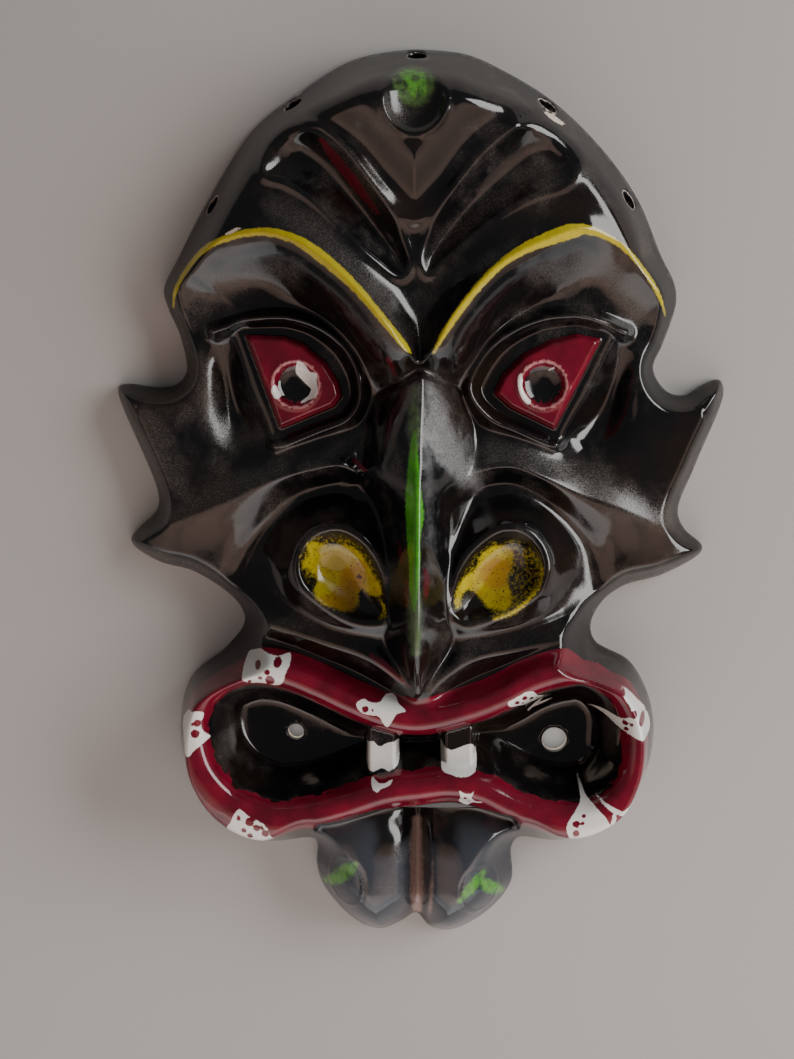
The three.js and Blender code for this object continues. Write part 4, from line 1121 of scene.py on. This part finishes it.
# Uneven places, as noise that comes in between a low and a high level
Cloud = namedtuple("Cloud", "scale detail roughness low high")
BROWN_PLACES = Cloud(0.03, 3.0, 0.5, 0.4, 0.7)
RED_STREAKS = Cloud(0.10, 3.0, 0.5, 0.25, 0.85)
YELLOW_FLECKS = Cloud(0.7, 4.0, 0.7, 0.47, 0.60)
BRIGHT_YELLOW_PLACES = Cloud(0.22, 4.0, 0.65, 0.3, 0.7)
FULL_GREEN_PLACES = Cloud(0.35, 4.0, 0.7, 0.3, 0.62)
FROST_SPECKS = Cloud(1.5, 3.0, 0.7, 0.40, 0.64)
CRACKED_PLACES = Cloud(0.02, 2.0, 0.5, 0.54, 0.62)
CLAY_STAINS = Cloud(0.03, 4.0, 0.5, 0.35, 0.7)

# The noise by which every edge wanders
EDGE_NOISE = Sizes(detail=3.0, roughness=0.6, middle=0.5)
# Frosting: its patches, how its rubbed strokes wander and come in, and how much is left
# between its specks
FROSTING = Sizes(patch=(0.48, 0.70), detail=4.0, roughness=0.6, wander=14.0, scale=0.12,
                 edge=(-6.0, 3.0), least=0.25)
# Hair cracks: how they bend, where they come in, and how faint they are elsewhere
CRACKS = Sizes(bend=2.5, scale=0.3, wander=14.0, wander_scale=0.10, edge=(-4.0, 2.0), elsewhere=0.4)
# Pinholes differ in size by noise of this scale, and have soft rims
PINHOLES = Sizes(scale=0.5, softness=0.08)
GLAZE_IOR = 1.54
ROUGHNESS = Sizes(glaze=0.10, frost=0.34, milky=0.30, red=0.06, chip=0.85, clay=(0.75, 0.95),
                  floor=0.9)
# How strongly the thin paints and the painted sheen and reflections cover; the painted sheen is
# thinner where the glaze isn't frosted
STRENGTH = Sizes(frost=0.30, milky=0.55, tongue_film=0.115, tan=0.85, thin_red=0.55,
                 pink_ring=0.6, thin_yellow=0.6, amber=0.75, pale_yellow=0.8, cracks=0.12)
PAINTED_SHEEN_CLEAR = 0.35
BROW_LINE_THINNEST = 0.8
# Heights under the glaze, in millimetres; ripples are lower where it isn't frosted
WAVES = Sizes(scale=0.07, height=0.25)
RIPPLES = Sizes(scale=0.9, detail=3.0, roughness=0.65, height=0.045, clear=0.25)
GRIT = Sizes(scale=2.2, detail=3.0, roughness=0.7, height=0.08)

# Light cards and the room, in metres
WINDOW = {
    "place": (1.12, 0.34, 0.62), "towards": (0, 0, 0.02), "width": 1.25, "height": 0.6,
    "radiance": 9.5, "colour": (1.0, 0.99, 0.97),
}
WHITE_SHELF = {
    "place": (0, -0.33, 0.14), "towards": (0, 0, 0.05), "width": 1.0, "height": 0.27,
    "radiance": 1.9, "spread": math.radians(130),
}
ROOM_CARD = {
    "towards": (0, 0, 0), "width": 1.4, "height": 1.2, "radiance": 1.3,
    "colour": (1.0, 0.66, 0.52), "spread": math.radians(72),
}
ROOM_CARD_PLACES = Sizes(turns=(-50, 0, 50), away=1.05, up=0.95)
MOUTH_LIGHT = Sizes(up=0.007, radiance=1.6)
DIM_ROOM = Sizes(colour=(0.9, 0.95, 1.0, 1), strength=0.12)
FLOOR_HALF = 3.0

# The photograph's view: almost straight down on the face, from a little above the crown.
# The aim is in the mask's own plane in millimetres, and the camera's turn and tilt in degrees.
CAMERA = Sizes(aim=(-8.99, -15.19), distance=0.7, turn=2, tilt=7, lens=37.06, sensor=24,
               nearest=0.01)


def strokes(x, y, lines, reach=PAINT_REACH):
    """Distance inside the edge of the nearest of some strokes."""
    best = np.full(len(x), FAR)
    for line in lines:
        curve = Curve(line, step=PAINT_STEP)
        mask, distance, half_width, _ = near(curve, x, y, reach)
        best[mask] = np.maximum(best[mask], half_width - distance)
    return best


def patches(x, y, shapes):
    """Distance inside the edge of the nearest of some closed shapes."""
    best = np.full(len(x), FAR)
    for shape in shapes:
        curve = Curve(shape, closed=True, step=PAINT_STEP)
        mask, distance, _, side = near(curve, x, y, PAINT_REACH)
        best[mask] = np.maximum(best[mask], distance * side)
    return best


def outside_dots(x, y, dots):
    """Distance outside the nearest of some round dots."""
    gaps = np.full(len(x), np.inf)
    for dot_x, dot_y, radius in dots:
        gaps = np.minimum(gaps, np.hypot(x - dot_x, y - dot_y) - radius)
    return gaps


def dimple_edges(x, y):
    """Distance inside the fine line round each dimple of the tongue."""
    best = np.full(len(x), FAR)
    for dimple_x, dimple_y in TONGUE_DIMPLES:
        line = DIMPLE_LINE
        radius = np.hypot((x - dimple_x) / line.half_width, (y - dimple_y) / line.half_height)
        best = np.maximum(best, line.half - line.half_width * np.abs(radius - 1))
    return best


def chipped_hole_edges(x, y, z):
    """Distance inside the thin chipped edges round the rim holes."""
    best = np.full(len(x), FAR)
    points = np.stack([x, y, z], axis=1)
    for hole_x, hole_y in RIM_HOLES:
        from_centre = points - (hole_x, hole_y, RIM_HOLE_HEIGHT)
        along = from_centre @ rim_hole_direction(hole_x, hole_y)
        radius = np.sqrt(np.maximum((from_centre ** 2).sum(axis=1) - along ** 2, 0))
        near_hole = (radius < RIM_HOLE_RADIUS + HOLE_CHIP.reach) & (np.abs(along) < HOLE_CHIP.depth)
        depth = front_height(x[near_hole], y[near_hole]) - z[near_hole]
        outside = radius[near_hole] - RIM_HOLE_RADIUS
        best[near_hole] = HOLE_CHIP.width - np.maximum(outside, depth)
    return best


def paint_distances(x, y, z):
    """Every kind of paint with its distance inside the edge, for each vertex."""
    lip_distance, _, lip_side = nearest(lips, x, y)
    over_lip = np.hypot(lip_distance, LIP_PAINT.down * (LIP.height - z))
    lip = np.where(lip_side > 0, LIP_PAINT.inner - lip_distance, LIP_PAINT.outer - over_lip)
    splash = np.maximum(patches(x, y, SPLASHES), strokes(x, y, SPLASH_STROKES))
    splash = np.minimum(splash, outside_dots(x, y, SPLASH_GAPS))
    dab = np.minimum(patches(x, y, [CROWN_DAB]), outside_dots(x, y, [CROWN_DAB_GAP]))
    plates = np.full(len(x), FAR)
    pupil = np.full(len(x), -FAR)
    for plate, (pupil_x, pupil_y) in zip(eye_plates, PUPILS):
        mask, distance, _, side = near(plate, x, y, PAINT_REACH)
        plates[mask] = np.maximum(plates[mask], distance * side)
        pupil = np.minimum(pupil, np.hypot(x - pupil_x, y - pupil_y))
    chips = np.maximum(strokes(x, y, PALE_CHIPS), chipped_hole_edges(x, y, z))
    return {
        "lip": lip,
        "lip_inward": lip_distance * lip_side,
        "plate": plates,
        "pupil": pupil,
        "pupil_black": PUPIL_BLACK_RADIUS - pupil,
        "rubbed": strokes(x, y, RUBBED_STROKES, WIDE_REACH),
        # Painted sheen on the face
        "milky": strokes(x, y, PAINTED_SHEEN_STROKES),
        # Painted reflections on the tongue and in its groove
        "tongue_film": patches(x, y, TONGUE_REFLECTION),
        "tan": strokes(x, y, TAN_REFLECTION_STROKES),
        "red": strokes(x, y, RED_STROKES),
        "brow_line": strokes(x, y, BROW_STROKES),
        "yellow": np.maximum(patches(x, y, YELLOW_PATCHES), strokes(x, y, YELLOW_RIM_STROKES)),
        "thin_yellow": patches(x, y, THIN_YELLOW_PATCHES),
        "amber": patches(x, y, AMBER_PATCHES),
        "dark_drop": -outside_dots(x, y, [DARK_DROP]),
        # Painted reflection in the left nostril
        "pale_yellow": patches(x, y, [PALE_REFLECTION_PATCH]),
        "green": strokes(x, y, [NOSE_STROKE]),
        "faint_green": np.maximum(dab, strokes(x, y, TONGUE_STROKES)),
        "green_film": np.maximum(patches(x, y, [CROWN_FILM]), strokes(x, y, WASHED_STROKES)),
        "white": np.maximum(splash, patches(x, y, TOOTH_PAINT + PUPIL_WHITE)),
        "chip": chips,
        "dimple_edge": dimple_edges(x, y),
        "crazed": strokes(x, y, CRAZED_STROKES, WIDE_REACH),
    }


class Nodes:
    """Adds nodes to a shader tree; a value is a number, a tuple or another node's socket."""

    def __init__(self, tree):
        self.tree = tree

    def plug(self, socket, value):
        if isinstance(value, bpy.types.NodeSocket):
            self.tree.links.new(value, socket)
        else:
            socket.default_value = value

    def add(self, kind, settings=None, **values):
        node = self.tree.nodes.new(kind)
        for name, setting in (settings or {}).items():
            setattr(node, name, setting)
        for name, value in values.items():
            self.plug(node.inputs[name.replace("_", " ")], value)
        return node

    def math(self, operation, *values):
        node = self.add("ShaderNodeMath", {"operation": operation})
        for socket, value in zip(node.inputs, values):
            self.plug(socket, value)
        return node.outputs[0]

    def times(self, first, second):
        return self.math("MULTIPLY", first, second)

    def mix(self, factor, first, second):
        """Mixes two colours."""
        node = self.add("ShaderNodeMix", {"data_type": "RGBA"})
        for number, value in ((0, factor), (6, first), (7, second)):
            self.plug(node.inputs[number], value)
        return node.outputs[2]

    def blend(self, factor, first, second):
        """Mixes two numbers."""
        node = self.add("ShaderNodeMix", {"data_type": "FLOAT"})
        for number, value in ((0, factor), (2, first), (3, second)):
            self.plug(node.inputs[number], value)
        return node.outputs[0]

    def ramp(self, value, low, high):
        """0 below low, 1 above high, and smooth between."""
        node = self.add("ShaderNodeMapRange", {"interpolation_type": "SMOOTHSTEP"},
                        Value=value, From_Min=low, From_Max=high)
        return node.outputs[0]

    def noise(self, place, scale, detail=2.0, roughness=0.5):
        node = self.add("ShaderNodeTexNoise", Vector=place, Scale=scale, Detail=detail,
                        Roughness=roughness)
        return node.outputs[0]

    def cloud(self, place, cloud):
        """0 where a cloud's noise is low, 1 where it is high."""
        noise = self.noise(place, cloud.scale, cloud.detail, cloud.roughness)
        return self.ramp(noise, cloud.low, cloud.high)

    def wandering(self, place, distance, wander, scale):
        """A distance inside an edge that wanders."""
        noise = self.noise(place, scale, EDGE_NOISE.detail, EDGE_NOISE.roughness)
        swing = self.math("SUBTRACT", noise, EDGE_NOISE.middle)
        return self.math("MULTIPLY_ADD", swing, wander, distance)

    def millimetres(self):
        """The place on the mask, in millimetres."""
        place = self.add("ShaderNodeTexCoord").outputs["Object"]
        node = self.add("ShaderNodeVectorMath", {"operation": "SCALE"}, Vector=place, Scale=1 / MM)
        return node.outputs[0]

    def attribute(self, name):
        return self.add("ShaderNodeAttribute", {"attribute_name": name}).outputs["Fac"]

    def grouped(self, tree, **values):
        return self.add("ShaderNodeGroup", {"node_tree": tree}, **values).outputs[0]

    def bump(self, height, distance):
        return self.add("ShaderNodeBump", Height=height, Distance=distance, Strength=1.0).outputs[0]


def new_group(name, inputs, output):
    """A node group with number inputs (name: value) and one number output."""
    tree = bpy.data.node_groups.new(name, "ShaderNodeTree")
    for label, value in inputs.items():
        socket = tree.interface.new_socket(label, in_out="INPUT", socket_type="NodeSocketFloat")
        socket.default_value = value
    tree.interface.new_socket(output, in_out="OUTPUT", socket_type="NodeSocketFloat")
    nodes = Nodes(tree)
    given = nodes.add("NodeGroupInput").outputs
    return nodes, given, nodes.add("NodeGroupOutput").inputs[0]


def brushed_edge_group():
    """Where a brush stroke covers the glaze: its edge wanders and softens."""
    nodes, given, mask = new_group(
        "Brushed Edge", {"Distance": 0.0, "Wander": 0.6, "Size": 2.0, "Softness": 0.2}, "Mask")
    scale = nodes.math("DIVIDE", 1.0, given["Size"])
    moved = nodes.wandering(nodes.millimetres(), given["Distance"], given["Wander"], scale)
    low = nodes.times(given["Softness"], -1.0)
    nodes.plug(mask, nodes.ramp(moved, low, given["Softness"]))
    return nodes.tree


def frosting_group():
    """Fine frosting: rubbed strokes and patches, broken up into specks."""
    nodes, given, mask = new_group("Frosting", {"Distance": FAR, "Patch Size": 22.0}, "Mask")
    place = nodes.millimetres()
    scale = nodes.math("DIVIDE", 1.0, given["Patch Size"])
    patch = nodes.noise(place, scale, FROSTING.detail, FROSTING.roughness)
    patch = nodes.ramp(patch, *FROSTING.patch)
    moved = nodes.wandering(place, given["Distance"], FROSTING.wander, FROSTING.scale)
    rubbed = nodes.ramp(moved, *FROSTING.edge)
    fine = nodes.blend(nodes.cloud(place, FROST_SPECKS), FROSTING.least, 1.0)
    nodes.plug(mask, nodes.times(nodes.math("MAXIMUM", patch, rubbed), fine))
    return nodes.tree


def hair_cracks_group():
    """Hair cracks of the glaze, in a few places only."""
    nodes, given, mask = new_group(
        "Hair Cracks", {"Distance": FAR, "Cell": 3.2, "Width": 0.035}, "Mask")
    place = nodes.millimetres()
    bend = nodes.add("ShaderNodeTexNoise", Vector=place, Scale=CRACKS.scale, Detail=2.0)
    bent = nodes.add("ShaderNodeVectorMath", {"operation": "MULTIPLY_ADD"})
    for socket, value in zip(bent.inputs, (bend.outputs["Color"], (CRACKS.bend,) * 3, place)):
        nodes.plug(socket, value)
    cells = nodes.add("ShaderNodeTexVoronoi", {"feature": "DISTANCE_TO_EDGE"},
                      Vector=bent.outputs[0], Scale=nodes.math("DIVIDE", 1.0, given["Cell"]))
    lines = nodes.math("SUBTRACT", 1.0, nodes.ramp(cells.outputs["Distance"], 0.0, given["Width"]))
    moved = nodes.wandering(place, given["Distance"], CRACKS.wander, CRACKS.wander_scale)
    elsewhere = nodes.times(nodes.cloud(place, CRACKED_PLACES), CRACKS.elsewhere)
    where = nodes.math("MAXIMUM", elsewhere, nodes.ramp(moved, *CRACKS.edge))
    nodes.plug(mask, nodes.times(lines, where))
    return nodes.tree


def pinholes_group():
    """Small round pits where the glaze has boiled."""
    nodes, given, mask = new_group("Pinholes", {"Spacing": 1.4, "Radius": 0.28}, "Mask")
    place = nodes.millimetres()
    dots = nodes.add("ShaderNodeTexVoronoi", Vector=place,
                     Scale=nodes.math("DIVIDE", 1.0, given["Spacing"]))
    size = nodes.times(given["Radius"], nodes.noise(place, PINHOLES.scale, 1.0))
    gap = nodes.math("SUBTRACT", dots.outputs["Distance"], size)
    nodes.plug(mask, nodes.math("SUBTRACT", 1.0, nodes.ramp(gap, 0.0, PINHOLES.softness)))
    return nodes.tree


def new_material(name):
    material = bpy.data.materials.new(name)
    material.use_nodes = True
    shader = material.node_tree.nodes["Principled BSDF"]
    return material, Nodes(material.node_tree), shader


class Paintwork:
    """The glaze's colour and roughness, as each paint is laid over what is there."""

    def __init__(self, nodes, colour, roughness):
        self.nodes = nodes
        self.edge = brushed_edge_group()
        self.colour = colour
        self.roughness = roughness

    def brushed(self, distance, wander, size, softness):
        """Where a paint covers, from the distance inside its edge."""
        return self.nodes.grouped(self.edge, Distance=distance, Wander=wander, Size=size,
                                  Softness=softness)

    def painted(self, name):
        return self.brushed(self.nodes.attribute(name), *PAINT_EDGES[name])

    def lay(self, mask, colour, strength=1.0, roughness=None):
        """Lays a paint on; with less strength, what is under it shows through."""
        if roughness is not None:
            self.roughness = self.nodes.blend(mask, self.roughness, roughness)
        if strength < 1:
            mask = self.nodes.times(mask, strength)
        self.colour = self.nodes.mix(mask, self.colour, colour)


def lay_painted_light(paint, frost):
    """The painted sheen on the face, the painted blue-grey reflection on the tongue, and the
    painted tan reflection in its groove.
    """
    nodes = paint.nodes
    milky = nodes.times(paint.painted("milky"), nodes.blend(frost, PAINTED_SHEEN_CLEAR, 1.0))
    paint.lay(milky, PAINTED_SHEEN, STRENGTH.milky, ROUGHNESS.milky)
    paint.lay(paint.painted("tongue_film"), BLUE_REFLECTION, STRENGTH.tongue_film)
    paint.lay(paint.painted("tan"), TAN_REFLECTION, STRENGTH.tan)


def lay_red(paint, streaks):
    """The red lips and eye plates, thin red strokes, and a pink ring rubbed round each pupil."""
    nodes = paint.nodes
    inner = nodes.ramp(nodes.attribute("lip_inward"), *LIP_EDGE.turn)
    wander = nodes.blend(inner, LIP_EDGE.outer_wander, LIP_EDGE.inner_wander)
    lip = paint.brushed(nodes.attribute("lip"), wander, LIP_EDGE.size, LIP_EDGE.softness)
    thin = nodes.times(paint.painted("red"), STRENGTH.thin_red)
    red = nodes.math("MAXIMUM", nodes.math("MAXIMUM", lip, paint.painted("plate")), thin)
    paint.lay(red, nodes.mix(streaks, DEEP_RED, BRIGHT_RED), roughness=ROUGHNESS.red)
    from_edge = nodes.math("SUBTRACT", nodes.attribute("pupil"), PUPIL.radius)
    ring = nodes.math("SUBTRACT", PINK_RING_HALF_WIDTH, nodes.math("ABSOLUTE", from_edge))
    paint.lay(paint.brushed(ring, *PAINT_EDGES["pink_ring"]), PINK, STRENGTH.pink_ring)


def lay_yellow(paint, place):
    """The nostrils' pitted yellow with its amber places and a painted pale reflection in the left
    one, and the lines on the brows.
    """
    nodes = paint.nodes
    thin = nodes.times(paint.painted("thin_yellow"), nodes.cloud(place, YELLOW_FLECKS))
    thin = nodes.times(thin, STRENGTH.thin_yellow)
    patch = nodes.math("MAXIMUM", paint.painted("yellow"), thin)
    pitted = nodes.times(patch, nodes.math("SUBTRACT", 1.0, nodes.grouped(pinholes_group())))
    bright = nodes.cloud(place, BRIGHT_YELLOW_PLACES)
    paint.lay(pitted, nodes.mix(bright, DULL_YELLOW, YELLOW))
    line = nodes.blend(bright, BROW_LINE_THINNEST, 1.0)
    paint.lay(nodes.times(paint.painted("brow_line"), line), YELLOW)
    paint.lay(nodes.times(paint.painted("amber"), pitted), AMBER, STRENGTH.amber)
    paint.lay(paint.painted("pale_yellow"), PALE_REFLECTION_YELLOW, STRENGTH.pale_yellow)
    paint.lay(paint.painted("dark_drop"), DARK_RED)


def lay_green(paint, place, streaks):
    """The greens of the nose, of the crown's dab and of the tongue."""
    nodes = paint.nodes
    full = nodes.cloud(place, FULL_GREEN_PLACES)
    for name, (thinnest, fullest, first, second) in GREENS.items():
        cover = nodes.times(paint.painted(name), nodes.blend(full, thinnest, fullest))
        paint.lay(cover, nodes.mix(streaks, first, second))


def glaze_height(nodes, place, frost):
    """Slow waves of the cast surface, fine ripples, and an oval line round each dimple."""
    waves = nodes.times(nodes.noise(place, WAVES.scale), WAVES.height)
    ripples = nodes.noise(place, RIPPLES.scale, RIPPLES.detail, RIPPLES.roughness)
    ripples = nodes.times(ripples, RIPPLES.height)
    waves = nodes.math("MULTIPLY_ADD", ripples, nodes.blend(frost, RIPPLES.clear, 1.0), waves)
    softness = DIMPLE_LINE.softness
    oval = nodes.ramp(nodes.attribute("dimple_edge"), -softness, softness)
    return nodes.math("MULTIPLY_ADD", oval, DIMPLE_LINE.height, waves)


def glazed_ceramic():
    material, nodes, shader = new_material("glazed ceramic")
    place = nodes.millimetres()
    frost = nodes.grouped(frosting_group(), Distance=nodes.attribute("rubbed"))
    streaks = nodes.cloud(place, RED_STREAKS)
    glaze = nodes.mix(nodes.cloud(place, BROWN_PLACES), BLACK_GLAZE, BROWN_GLAZE)
    paint = Paintwork(nodes, glaze, ROUGHNESS.glaze)
    paint.lay(frost, FROST, STRENGTH.frost, ROUGHNESS.frost)
    # The painted sheen and the painted reflections
    lay_painted_light(paint, frost)
    lay_red(paint, streaks)
    lay_yellow(paint, place)
    lay_green(paint, place, streaks)
    paint.lay(paint.painted("pupil_black"), BLACK_GLAZE)
    paint.lay(paint.painted("white"), WHITE)
    paint.lay(paint.painted("chip"), CLAY, roughness=ROUGHNESS.chip)
    cracks = nodes.grouped(hair_cracks_group(), Distance=nodes.attribute("crazed"))
    paint.lay(cracks, FROST, STRENGTH.cracks)
    nodes.plug(shader.inputs["Base Color"], paint.colour)
    nodes.plug(shader.inputs["Roughness"], paint.roughness)
    shader.inputs["IOR"].default_value = GLAZE_IOR
    nodes.plug(shader.inputs["Normal"], nodes.bump(glaze_height(nodes, place, frost), MM))
    return material


def bare_clay():
    material, nodes, shader = new_material("bare clay")
    place = nodes.millimetres()
    grit = nodes.noise(place, GRIT.scale, GRIT.detail, GRIT.roughness)
    colour = nodes.mix(nodes.cloud(place, CLAY_STAINS), CLAY, STAINED_CLAY)
    nodes.plug(shader.inputs["Base Color"], colour)
    nodes.plug(shader.inputs["Roughness"], nodes.blend(grit, *ROUGHNESS.clay))
    nodes.plug(shader.inputs["Normal"], nodes.bump(grit, GRIT.height * MM))
    return material


def new_object(name, data):
    thing = bpy.data.objects.new(name, data)
    bpy.context.collection.objects.link(thing)
    return thing


def turn_outwards(mesh):
    faces = bmesh.new()
    faces.from_mesh(mesh)
    bmesh.ops.recalc_face_normals(faces, faces=faces.faces)
    faces.to_mesh(mesh)
    faces.free()


def make_mask():
    shell = build_shell()
    mesh, points = mesh_from(shell, "mask_ceramic")
    distances = paint_distances(*(points - (*SHIFT, 0)).T)
    for name, values in distances.items():
        attribute = mesh.attributes.new(name, "FLOAT", "POINT")
        attribute.data.foreach_set("value", values.astype(np.float32))
    mesh.polygons.foreach_set("material_index", [int(bare) for bare in shell.bare])
    mesh.polygons.foreach_set("use_smooth", [True] * len(mesh.polygons))
    turn_outwards(mesh)
    piece = new_object("mask_ceramic", mesh)
    mesh.materials.append(glazed_ceramic())
    mesh.materials.append(bare_clay())
    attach(piece, "root")
    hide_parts("mask")


def make_floor():
    mesh = bpy.data.meshes.new("floor")
    half = FLOOR_HALF
    corners = [(-half, -half, 0), (half, -half, 0), (half, half, 0), (-half, half, 0)]
    mesh.from_pydata(corners, [], [(0, 1, 2, 3)])
    floor = new_object("floor", mesh)
    material, _, shader = new_material("pale floor")
    shader.inputs["Base Color"].default_value = FLOOR_GREY
    shader.inputs["Roughness"].default_value = ROUGHNESS.floor
    mesh.materials.append(material)


def add_card(name, place, towards, width, height, radiance, colour=(1, 1, 1), spread=math.pi):
    """A soft light card that the camera doesn't see; a narrow spread fades its edges."""
    light = bpy.data.lights.new(name, "AREA")
    light.shape = "RECTANGLE"
    light.size = width
    light.size_y = height
    light.energy = radiance * width * height * math.pi
    if spread < math.pi:
        light.spread = spread
        light.energy *= 1 - spread / 2 / math.tan(spread / 2)
    light.color = colour
    card = new_object(name, light)
    card.location = place
    card.rotation_mode = "QUATERNION"
    card.rotation_quaternion = (Vector(towards) - Vector(place)).to_track_quat("-Z", "Y")
    card.visible_camera = False
    return card


def make_lights():
    add_card("window", **WINDOW)
    add_card("white shelf", **WHITE_SHELF)
    for hole_x, hole_y, radius in MOUTH_HOLES:
        centre = Vector((hole_x + SHIFT[0], hole_y + SHIFT[1], 0)) * MM
        above = centre + Vector((0, 0, MOUTH_LIGHT.up))
        size = 2 * radius * MM
        behind = add_card("light behind the mouth", above, centre, size, size, MOUTH_LIGHT.radiance)
        behind.data.shape = "ELLIPSE"
        behind.visible_glossy = False
    away, up = ROOM_CARD_PLACES.away, ROOM_CARD_PLACES.up
    for turn in ROOM_CARD_PLACES.turns:
        angle = math.radians(turn)
        add_card("room", (away * math.sin(angle), -away * math.cos(angle), up), **ROOM_CARD)
    world = bpy.data.worlds.new("dim room")
    world.use_nodes = True
    background = world.node_tree.nodes["Background"]
    background.inputs["Color"].default_value = DIM_ROOM.colour
    background.inputs["Strength"].default_value = DIM_ROOM.strength
    bpy.context.scene.world = world


def make_camera():
    turn, tilt = math.radians(CAMERA.turn), math.radians(CAMERA.tilt)
    aim_x, aim_y = CAMERA.aim
    aim = Vector((aim_x + SHIFT[0], aim_y + SHIFT[1], 0)) * MM
    back = Vector((math.sin(turn) * math.cos(tilt), math.sin(tilt),
                   math.cos(turn) * math.cos(tilt)))
    right = Vector((0, 1, 0)).cross(back).normalized()
    up = back.cross(right)
    data = bpy.data.cameras.new("camera")
    data.sensor_width = CAMERA.sensor
    data.lens = CAMERA.lens
    data.clip_start = CAMERA.nearest
    camera = new_object("camera", data)
    camera.rotation_mode = "QUATERNION"
    camera.rotation_quaternion = Matrix((right, up, back)).transposed().to_quaternion()
    camera.location = aim + CAMERA.distance * back
    bpy.context.scene.camera = camera


make_camera()
make_floor()
make_lights()
make_mask()
